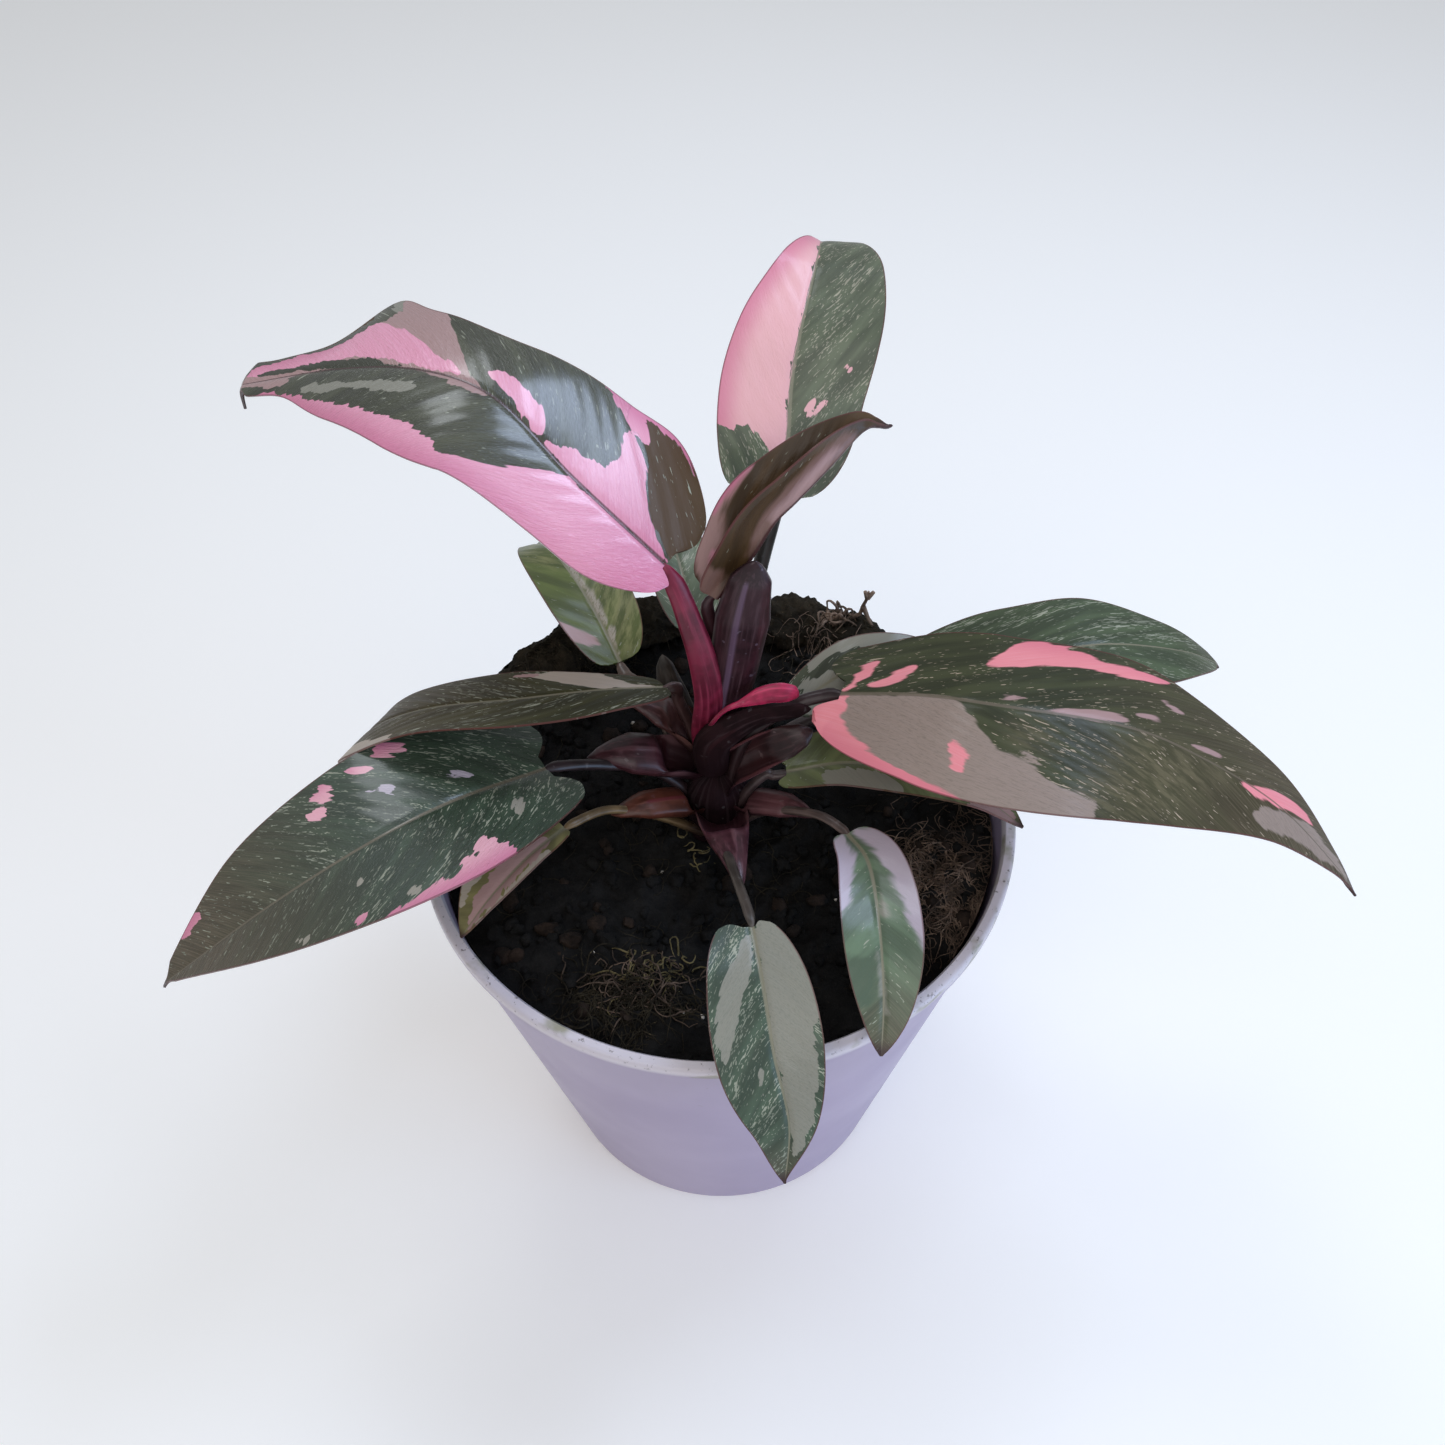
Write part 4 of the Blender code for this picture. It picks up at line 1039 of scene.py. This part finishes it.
def soil_edge_radius():
    slope = (POT_RIM_RADIUS - LIP_WIDTH - POT_BASE_RADIUS) / (POT_HEIGHT - LIP_HEIGHT - 2.5)
    return POT_BASE_RADIUS - POT_WALL + slope * (SOIL_LEVEL - 3) - 0.6


def rough(points, scale, octaves):
    """Fractal noise at each point, about -1 to 1."""
    return np.array([noise.fractal(Vector(p) * scale, 1.0, 2.1, octaves) for p in points])


class PHILODENDRON_OT_soil(bpy.types.Operator):
    """Fill the pot with lumpy soil, hollowed where the stem stands"""
    bl_idname = "philodendron.soil"
    bl_label = "Soil"

    def execute(self, context):
        look = context.scene.soil_settings
        rings, around = 118, 300
        soil, ring, angle = round_grid("potting_soil", rings + 10, around)
        edge = soil_edge_radius()
        share = np.clip(ring - 3, 0, rings) / rings
        radius = STEM_HOLE_RADIUS + (edge - STEM_HOLE_RADIUS) * share
        x, y = radius * np.cos(angle), radius * np.sin(angle)
        lump = look.lump / MM
        places = np.stack([x, y, np.zeros_like(x)], 1)
        lumps = lump * rough(places, 0.11, 5) + 0.5 * lump * rough(places + 50, 0.4, 3)
        height = np.minimum(soil_height(x, y) + lumps, SOIL_LEVEL + SOIL_CREST)
        inner_base = POT_BASE_RADIUS - POT_WALL
        hole = [(0.01, STEM_FOOT - 0.3), (STEM_HOLE_RADIUS, STEM_FOOT - 0.3), (STEM_HOLE_RADIUS, 118)]
        wall = [(edge, 115), (edge - 5, 90), (edge - 12, 50), (inner_base - 1.5, 3),
                (inner_base - 2.5, 2.2), (25, 2.2), (0.01, 2.2)]
        for number, (r, z) in [*enumerate(hole), *enumerate(wall, rings + 4)]:
            at = ring == number
            x[at], y[at], height[at] = r * np.cos(angle[at]), r * np.sin(angle[at]), z
        move_points(soil, np.stack([x, y, height], 1))
        join_seam(soil)
        finish = soil_finish("potting_soil", look.peat, (0.05, 0.04, 0.03), 0.25)
        finish_piece(soil, ["soil"], finish)
        return {"FINISHED"}


def joined_copies(name, shape, places, sizes, rng, finish):
    """One piece of many turned and stretched copies of a small mesh."""
    base = coordinates(shape) / MM
    faces = [tuple(face.vertices) for face in shape.data.polygons]
    verts, polygons = [], []
    for place, size in zip(places, sizes):
        turn = np.array(Matrix.Rotation(rng.uniform(0, 2 * math.pi), 3, rng.normal(size=3)))
        copy = (base * size * rng.uniform(0.6, 1.3, 3)) @ turn.T + place
        start = len(verts) * len(base)
        verts.append(copy)
        polygons.extend(tuple(start + i for i in face) for face in faces)
    mesh = bpy.data.meshes.new(name)
    mesh.from_pydata((np.vstack(verts) * MM).tolist(), [], polygons)
    obj = bpy.data.objects.new(name, mesh)
    bpy.context.scene.collection.objects.link(obj)
    bpy.data.objects.remove(shape)
    return finish_piece(obj, [], finish)


# Each bank's start and end in degrees, and its middle radius, level, half width and height
BANKS = (("moss_back_left", 90, 150, 68.5, 131.5, 8.5, 5.5),
         ("moss_back_right", 36, 82, 67.5, 131.5, 8.5, 6.5))


def ground(x, y):
    """The top of the soil or of the moss bank that lies on it."""
    height = soil_height(x, y)
    turn, radius = math.degrees(math.atan2(y, x)), math.hypot(x, y)
    for _, start, end, middle, level, wide, high in BANKS:
        if start < turn < end and abs(radius - middle) < wide:
            height = max(height, level + high * math.sqrt(1 - ((radius - middle) / wide) ** 2))
    return height


class PHILODENDRON_OT_moss(bpy.types.Operator):
    """Heap banks of old moss and peat along the back of the rim"""
    bl_idname = "philodendron.moss"
    bl_label = "Moss banks"

    def execute(self, context):
        rows, around = 110, 60
        finish = soil_finish("moss_bank", context.scene.soil_settings.bank, (0.11, 0.082, 0.045), 0.6)
        for name, start, end, middle, level, wide, high in BANKS:
            bank, ring, angle = round_grid(name, rows, around)
            along = np.radians(start + (end - start) * ring / rows)
            size = np.sqrt(np.clip(1 - (2 * ring / rows - 1) ** 4, 0.0004, 1))
            radius = middle + wide * size * np.cos(angle)
            places = turned(radius, along, level + high * size * np.sin(angle))
            swell = 2.6 * rough(places, 0.11, 5) + 1.2 * rough(places, 0.5, 3)
            out = turned(np.cos(angle), along, np.sin(angle))
            places = places + out * (swell * np.clip(size * 1.5, 0, 1))[:, None]
            reach = np.hypot(places[:, 0], places[:, 1])
            on_rim = reach > POT_RIM_RADIUS - LIP_WIDTH - POT_WALL - 0.4
            places[:, :2] *= np.minimum(1, (POT_RIM_RADIUS - 0.2) / reach)[:, None]
            places[:, 2] = np.where(on_rim, np.maximum(places[:, 2], POT_HEIGHT + 0.05), places[:, 2])
            move_points(bank, places)
            join_seam(bank)
            finish_piece(bank, [], finish)
        return {"FINISHED"}


class PHILODENDRON_OT_crumbs(bpy.types.Operator):
    """Scatter crumbs of peat and bark, and a few white grains, over the soil"""
    bl_idname = "philodendron.crumbs"
    bl_label = "Crumbs"

    def execute(self, context):
        look = context.scene.soil_settings
        rng = np.random.RandomState(11)
        edge = soil_edge_radius() - 2
        # Each kind's number, smallest and largest size, colour and the colour of its light specks
        kinds = (("peat_crumbs", look.crumbs, (0.6, 1.9), look.peat, (0.03, 0.024, 0.018)),
                 ("bark_chips", look.crumbs // 6, (1.0, 2.6), look.bark, (0.05, 0.035, 0.025)),
                 ("white_grains", 16, (0.3, 0.6), look.grains, (0.5, 0.48, 0.42)))
        for name, count, (small, large), colour, accent in kinds:
            fresh()
            bpy.ops.mesh.primitive_ico_sphere_add(subdivisions=2, radius=MM)
            shape = bpy.context.object
            bumps = coordinates(shape)
            move_points(shape, bumps / MM * (1 + 0.55 * rough(bumps / MM, 2.1, 2))[:, None])
            radius = edge * np.sqrt(rng.uniform(0.03, 1, count))
            angle = rng.uniform(0, 2 * math.pi, count)
            x, y = radius * np.cos(angle), radius * np.sin(angle)
            places = np.stack([x, y, soil_height(x, y) + 0.4], 1)
            sizes = rng.uniform(small, large, count)
            joined_copies(name, shape, places, sizes, rng, soil_finish(name, colour, accent, 0.4))
        return {"FINISHED"}


def strands_piece(name, strands, radius, finish):
    """Thin round strands as one mesh."""
    curve = bpy.data.curves.new(name, "CURVE")
    curve.dimensions = "3D"
    curve.bevel_depth = radius * MM
    curve.bevel_resolution = 1
    curve.use_fill_caps = True
    for points in strands:
        run = curve.splines.new("POLY")
        run.points.add(len(points) - 1)
        for i, (place, point) in enumerate(zip(run.points, points)):
            place.co = (*(float(c) * MM for c in point), 1)
            place.radius = 1.0 - 0.7 * i / len(points)
    obj = bpy.data.objects.new(name, curve)
    bpy.context.scene.collection.objects.link(obj)
    active(obj)
    bpy.ops.object.convert(target="MESH")
    return finish_piece(bpy.context.object, [], finish)


def wandering_strands(rng, count, middle, spread, lift, step):
    """Bent strands that lie over the ground round a middle point."""
    edge = POT_RIM_RADIUS - 5
    strands = []
    for _ in range(count):
        x, y = (middle[k] + rng.normal() * spread[k] * 0.5 for k in (0, 1))
        heading, bend = rng.uniform(0, 2 * math.pi), rng.normal() * 0.3
        hop = lift * rng.uniform(0.1, 1.0) ** 2
        points = []
        number = rng.randint(6, 15)
        for i in range(number):
            radius = math.hypot(x, y)
            if radius > edge:
                x, y = x * edge / radius, y * edge / radius
            height = ground(x, y) + 0.1 + hop * math.sin(math.pi * i / (number - 1))
            points.append((x, y, height))
            heading += bend + rng.normal() * 0.4
            x += step * math.cos(heading)
            y += step * math.sin(heading)
        strands.append(points)
    return strands


# Each tuft's share of the strands, middle, spread, lift off the ground, length of a step and radius
TUFTS = (
    ("roots_right", 0.9, (55, -25), (13, 15), 3.0, 1.2, 0.17, "dry_root"),
    ("roots_right_low", 0.3, (62, -2), (8, 20), 2.0, 1.5, 0.16, "dry_root"),
    ("roots_pale_near", 0.4, (48, -19), (7, 8), 2.5, 1.1, 0.19, "pale_root"),
    ("roots_pale_middle", 0.5, (54, -27), (8, 8), 2.5, 1.1, 0.19, "pale_root"),
    ("roots_pale_far", 0.4, (60, -34), (7, 7), 2.0, 1.1, 0.13, "pale_root"),
    ("roots_pale_back", 0.12, (28, 52), (12, 8), 4.0, 1.2, 0.15, "pale_root"),
    ("moss_yellow", 0.14, (-16, -46), (7, 5), 3.0, 0.8, 0.28, "yellow_moss"),
    ("roots_front", 0.25, (-19, -50), (11, 7), 3.5, 1.1, 0.24, "dry_root"),
    ("moss_green", 0.03, (-7, -10), (4, 4), 1.5, 0.8, 0.25, "yellow_moss"),
    ("roots_back", 0.25, (38, 53), (20, 8), 2.5, 1.2, 0.2, "dry_moss"),
    ("clump_back", 0.09, (34, 59), (2.5, 2), 7.0, 0.7, 0.5, "pale_root"),
    ("moss_front", 0.9, (-22, -54), (15, 9), 4.0, 1.2, 0.2, "dry_moss"),
    ("moss_left", 0.7, (-42, 52), (24, 9), 3.0, 1.3, 0.2, "dry_moss"),
    ("moss_loose", 0.5, (0, -20), (60, 60), 1.0, 1.5, 0.15, "dry_moss"))
SPRIG = (
    ((33, 58, 137), (37, 58, 139), (40.6, 58, 141), (41.2, 58, 144), (42.2, 58, 147), (42.4, 58, 149.5)),
    ((42.2, 58, 147), (41.4, 58, 149.5)),
    ((42.2, 58, 147), (43.8, 58, 149.3)),
    ((41.2, 58, 144), (42.5, 57, 141), (44, 56, 138)))


class PHILODENDRON_OT_roots(bpy.types.Operator):
    """Lay dry roots and moss strands on the ground"""
    bl_idname = "philodendron.roots"
    bl_label = "Roots and moss"

    def execute(self, context):
        look = context.scene.soil_settings
        rng = np.random.RandomState(5)
        kinds = (("dry_root", look.root, (0.22, 0.17, 0.13), 0.6),
                 ("dry_moss", look.moss, (0.17, 0.13, 0.075), 0.6),
                 ("pale_root", look.pale_root, (0.40, 0.31, 0.24), 0.7),
                 ("yellow_moss", look.yellow_moss, (0.30, 0.26, 0.15), 0.7))
        finishes = {kind[0]: soil_finish(*kind) for kind in kinds}
        for name, share, middle, spread, lift, step, radius, kind in TUFTS:
            strands = wandering_strands(rng, int(look.fibres * share), middle, spread, lift, step)
            strands_piece(name, strands, radius, finishes[kind])
        strands_piece("dry_sprig", SPRIG, 0.8, finishes["pale_root"])
        return {"FINISHED"}


# Angle, spread and height of each of the ridges; their lighter colour is a painted highlight
RIDGES = ((2.05, 0.12, 0.25), (1.34, 0.22, 0.85))


def swept_sheath(name, sheath, rows=64, around=40):
    """A petiole or sheath as a bent channel that closes towards its end."""
    obj, ring, angle = round_grid(name, rows, around)
    points, length = spline(sheath.points, rows + 1)
    _, normals, left = carried_frames(points, sheath.facing)
    knots = np.linspace(0, 1, len(sheath.widths))
    share = ring / rows
    blunt = np.sqrt(np.clip((1 - share) / 0.08, 0.01, 1))
    width, depth = (np.interp(share, knots, values) * blunt for values in (sheath.widths, sheath.depths))
    shut = np.clip((share - sheath.open_share * 0.55) / (sheath.open_share * 0.45 + 0.02), 0, 1)
    if sheath.open_share == 0:
        shut = np.ones_like(share)
    shut = shut * shut * (3 - 2 * shut)
    below = np.sin(angle) < 0
    wall = np.minimum(0.6, 0.35 * depth)
    floor = -(depth - wall) * np.abs(np.sin(angle))
    ridges = sum(high * np.exp(-((angle - place) / spread) ** 2) for place, spread, high in RIDGES)
    lid = 0.8 * depth * np.abs(np.sin(angle)) * (1 + 0.10 * ridges * (width > 2.5))
    rise = np.where(below, -depth * np.abs(np.sin(angle)), floor + (lid - floor) * shut)
    side = np.cos(angle) * np.where(below, width, width - (1 - shut) * wall * 0.6)
    rise = rise + (1 - shut) * depth * 0.6 * np.abs(np.cos(angle)) ** 3
    places = points[ring] + side[:, None] * left[ring] + rise[:, None] * normals[ring]
    move_points(obj, places)
    around_mm = np.stack([np.cos(angle), np.sin(angle)]) * width * 0.1
    add_numbers(obj, "along", np.stack([share * length / 10, *around_mm], 1), "FLOAT_VECTOR")
    edge = (1 - shut) * np.clip((np.abs(np.cos(angle)) - 0.8) / 0.15, 0, 1)
    edge = edge * np.clip(share * 5 - 0.5, 0, 1)
    # Painted highlight: the ridges of wide closed parts lighten towards the rim colour
    ridge_highlight = shut * ridges * 0.75 * np.clip(width - 3.2, 0, 1) * np.clip(share * 4 - 0.4, 0, 1)
    add_numbers(obj, "rim", np.maximum(edge, ridge_highlight))
    join_seam(obj)
    return obj


class PHILODENDRON_OT_stem(bpy.types.Operator):
    """Grow the crown with its petioles, clasping sheaths and spear"""
    bl_idname = "philodendron.stem"
    bl_label = "Stem and petioles"

    def execute(self, context):
        self.grow_core(context.scene.stem_settings.root)
        for name, leaf in LEAVES.items():
            petiole = name.replace("leaf", "petiole")
            if petiole not in SHEATHS:
                self.grow_petiole(petiole, leaf)
        for name, sheath in SHEATHS.items():
            finish = stem_finish(name, sheath.skin, sheath.rim, name == "sheath_right")
            finish_piece(swept_sheath(name, sheath), ["stem"], finish)
        return {"FINISHED"}

    def grow_core(self, colour):
        rows, around = 24, 28
        core, ring, angle = round_grid("rootstock", rows, around)
        knots = (0, 0.05, 0.25, 0.45, 0.6, 0.75, 0.87, 0.95, 1)
        heights = np.interp(ring / rows, knots, (STEM_FOOT, 102, 112, 124, 133, 139, 142.5, 144.2, 145))
        radius = np.interp(ring / rows, knots, (0.01, 6, 7, 7.6, 8, 7.5, 5.6, 3.2, 0.01))
        radius = radius * (1 + 0.05 * np.cos(5 * angle + heights * 0.1))
        places = turned(radius, angle, heights)
        places[:, 1] += 0.8 * np.clip((heights - 128) / 5, 0, 1)
        move_points(core, places)
        around_core = np.stack([heights / 10, np.cos(angle), np.sin(angle)], 1)
        add_numbers(core, "along", around_core, "FLOAT_VECTOR")
        add_numbers(core, "rim", np.zeros(len(ring)))
        join_seam(core)
        # The rootstock's nearly black colour is painted shade in the crown's pit
        finish_piece(core, ["stem"], stem_finish("rootstock", colour, colour, True))

    def grow_petiole(self, name, leaf):
        """Leads a petiole from inside the crown to just under the base of its blade."""
        points, _ = spline(leaf.midrib, 60)
        along, normals, _ = carried_frames(points, leaf.facing, leaf.roll)
        end = points[0] + along[0] - normals[0] * 0.95
        before = points[0] - along[0] * 2 * leaf.stalk - normals[0] * 0.8
        first, second = (Vector(point) for point in leaf.petiole[:2])
        sunk = (tuple(first - Vector((0, 0, 9))), tuple(second - Vector((0, 0, 3))))
        route = sunk + leaf.petiole[2:] + (tuple(before), tuple(end))
        widths = scaled(leaf.stalk, (1.2, 1, 0.85, 0.85, 0.9))
        depths = scaled(leaf.stalk, (1.2, 1, 0.85, 0.85, 0.6))
        upper = (0, 0, 1) if end[2] < 175 else (0.3, -1, 0.2)
        rim = tuple(1.8 * c + 0.03 for c in leaf.skin)
        obj = swept_sheath(name, Sheath(route, widths, depths, leaf.skin, rim, 0.0, upper), 48, 24)
        finish_piece(obj, ["stem"], stem_finish(name, leaf.skin, rim))


class PHILODENDRON_OT_leaves(bpy.types.Operator):
    """Shape each leaf blade and give it its marks"""
    bl_idname = "philodendron.leaves"
    bl_label = "Leaves"

    def execute(self, context):
        for number, (name, leaf) in enumerate(LEAVES.items()):
            length = spline(leaf.midrib, 60)[1]
            rows, columns = FINE_GRID if length > LARGE_LEAF else PLAIN_GRID
            blade, u, v = grid(name.replace("leaf", "blade"), rows, columns)
            v = 1 - 2 * v
            places, length, distance, origin, margin = blade_surface(leaf, u, v)
            move_points(blade, places)
            right = v >= 0
            x, y = u * length, v * np.maximum(half_width(leaf, u, right), 1.0)
            for kind in MARK_KINDS:
                inside = np.full(len(u), NO_MARK)
                for outline in leaf.marks.get(kind, ()):
                    outline = rounded(outline)
                    across = outline[:, 1] * np.maximum(
                        half_width(leaf, np.clip(outline[:, 0], 0, 1), outline[:, 1] >= 0), 1.0)
                    flat = np.stack([outline[:, 0] * length, across], 1)
                    inside = np.maximum(inside, inside_distance(flat, x, y))
                add_numbers(blade, kind, inside)
            lean = USUAL_LEAN / math.hypot(1, leaf.slant)
            flow = np.stack([distance * leaf.grain / lean, origin * leaf.grain ** 0.5 * lean,
                             9.0 * number + 4.0 * right], 1)
            add_numbers(blade, "flow", flow, "FLOAT_VECTOR")
            add_numbers(blade, "rib_distance", distance / np.maximum(1.25 * (1 - 0.8 * u), 0.2))
            add_numbers(blade, "margin", margin + 3.0 * (u < 0.02))
            add_numbers(blade, "tip", (u - leaf.tip) / (1 - leaf.tip))
            add_numbers(blade, "along_blade", u)
            start, end = leaf.aged
            add_numbers(blade, "aged", np.clip((u - start) / (end - start), 0, 1))
            group = blade.vertex_groups.new(name="midrib")
            thin = BLADE_THICKNESS / MIDRIB_THICKNESS
            keel = np.exp(-(distance / 1.1) ** 2) * (1 - 0.8 * u)
            weights = np.round((thin + (1 - thin) * keel) * np.clip(0.55 + margin / 3, 0, 1), 2)
            for weight in np.unique(weights):
                group.add(np.flatnonzero(weights == weight).tolist(), float(weight), "REPLACE")
            active(blade)
            wall = blade.modifiers.new("thickness", "SOLIDIFY")
            wall.thickness = MIDRIB_THICKNESS * MM
            wall.offset = -1
            wall.vertex_group = "midrib"
            wall.material_offset = 1
            bpy.ops.object.modifier_apply(modifier=wall.name)
            blade.data.materials.clear()
            for face in ("upper_face", "underside"):
                blade.data.materials.append(leaf_finish(f"{name}_{face}", leaf, face == "underside"))
            finish_piece(blade, [name], None)
        return {"FINISHED"}


class PHILODENDRON_OT_stage(bpy.types.Operator):
    """Set the floor, the lights and the camera"""
    bl_idname = "philodendron.stage"
    bl_label = "Stage"

    def execute(self, context):
        look = context.scene.stage_settings
        fresh()
        bpy.ops.mesh.primitive_plane_add(size=6)
        floor = bpy.context.object
        floor.name = "floor"
        paper = Finish("floor")
        paper.shade("Base Color", (*look.floor, 1))
        paper.shade("Roughness", 0.9)
        paper.shade("Emission Color", (1, 1, 1, 1))
        paper.shade("Emission Strength", 0.1)
        floor.data.materials.append(paper.material)
        context.scene.view_settings.view_transform = "Standard"
        world = bpy.data.worlds.new("studio")
        world.use_nodes = True
        sky = world.node_tree.nodes["Background"].inputs
        sky["Color"].default_value = (0.93, 0.96, 1.0, 1)
        sky["Strength"].default_value = look.sky
        context.scene.world = world
        # Each lamp's power, size, place and colour
        lamps = (("window", look.key, 0.30, (0.37, 0.22, 0.87), (0.62, 0.75, 1.0)),
                 ("window_left", 0.45 * look.key, 0.26, (-0.19, 0.34, 0.96), (0.90, 0.95, 1.0)),
                 ("front", 1.5 * look.key, 0.9, (-0.1, -0.75, 0.95), (1.0, 0.97, 0.94)),
                 ("fill", 1.75 * look.fill, 0.6, (0.85, -0.45, 0.35), (0.42, 0.64, 1.0)))
        for name, power, size, place, colour in lamps:
            fresh()
            bpy.ops.object.light_add(type="AREA", location=place)
            lamp = bpy.context.object
            lamp.name = name
            lamp.data.energy = power
            lamp.data.size = size
            lamp.data.color = colour
            aim = Vector((0, 0, 0.15)) - Vector(place)
            lamp.rotation_euler = aim.to_track_quat("-Z", "Y").to_euler()
        self.place_camera(context)
        return {"FINISHED"}

    def place_camera(self, context):
        tilt, roll = math.radians(CAMERA_ELEVATION), math.radians(CAMERA_ROLL)
        rim = Vector((0, 0, POT_HEIGHT))
        place = rim + CAMERA_DISTANCE * Vector((0, -math.cos(tilt), math.sin(tilt)))
        per_pixel = CAMERA_DISTANCE / PHOTO_FOCAL
        middle = PHOTO_SIZE / 2
        aside = (middle - PHOTO_RIM_CENTRE[0]) * per_pixel
        above = (PHOTO_RIM_CENTRE[1] - middle) * per_pixel
        target = rim + aside * Vector((1, 0, 0)) + above * Vector((0, math.sin(tilt), math.cos(tilt)))
        ahead = (target - place).normalized()
        right = ahead.cross(Vector((0, 0, 1))).normalized()
        up = right.cross(ahead)
        cos, sin = math.cos(roll), math.sin(roll)
        right, up = right * cos - up * sin, right * sin + up * cos
        turn = Matrix((right, up, -ahead)).transposed().to_4x4()
        fresh()
        bpy.ops.object.camera_add()
        camera = bpy.context.object
        camera.name = "photo_camera"
        camera.matrix_world = Matrix.Translation(place * MM) @ turn
        camera.data.sensor_width = 36
        camera.data.lens = 36 * PHOTO_FOCAL / PHOTO_SIZE
        camera.data.clip_start = 0.01
        context.scene.camera = camera


OPERATORS = (PHILODENDRON_OT_stage, PHILODENDRON_OT_pot, PHILODENDRON_OT_soil, PHILODENDRON_OT_moss,
             PHILODENDRON_OT_crumbs, PHILODENDRON_OT_roots, PHILODENDRON_OT_stem, PHILODENDRON_OT_leaves)
SETTINGS = {"pot_settings": PotSettings, "soil_settings": SoilSettings, "leaf_settings": LeafSettings,
            "stem_settings": StemSettings, "stage_settings": StageSettings}


class PHILODENDRON_PT_panel(bpy.types.Panel):
    """Buttons and settings in the 3D view's sidebar"""
    bl_idname = "PHILODENDRON_PT_panel"
    bl_label = "Philodendron"
    bl_space_type = "VIEW_3D"
    bl_region_type = "UI"
    bl_category = "Philodendron"

    def draw(self, context):
        for name, group in SETTINGS.items():
            box = self.layout.box()
            for key in group.__annotations__:
                box.prop(getattr(context.scene, name), key)
        for operator in OPERATORS:
            self.layout.operator(operator.bl_idname)


def register():
    for group in SETTINGS.values():
        bpy.utils.register_class(group)
    for name, group in SETTINGS.items():
        setattr(bpy.types.Scene, name, bpy.props.PointerProperty(type=group))
    for operator in OPERATORS:
        bpy.utils.register_class(operator)
    bpy.utils.register_class(PHILODENDRON_PT_panel)


def unregister():
    bpy.utils.unregister_class(PHILODENDRON_PT_panel)
    for operator in reversed(OPERATORS):
        bpy.utils.unregister_class(operator)
    for name, group in SETTINGS.items():
        delattr(bpy.types.Scene, name)
        bpy.utils.unregister_class(group)


def main():
    register()
    bpy.ops.philodendron.stage()
    bpy.ops.philodendron.pot()
    bpy.ops.philodendron.soil()
    bpy.ops.philodendron.moss()
    bpy.ops.philodendron.crumbs()
    bpy.ops.philodendron.roots()
    bpy.ops.philodendron.stem()
    bpy.ops.philodendron.leaves()


if __name__ == "__main__":
    main()
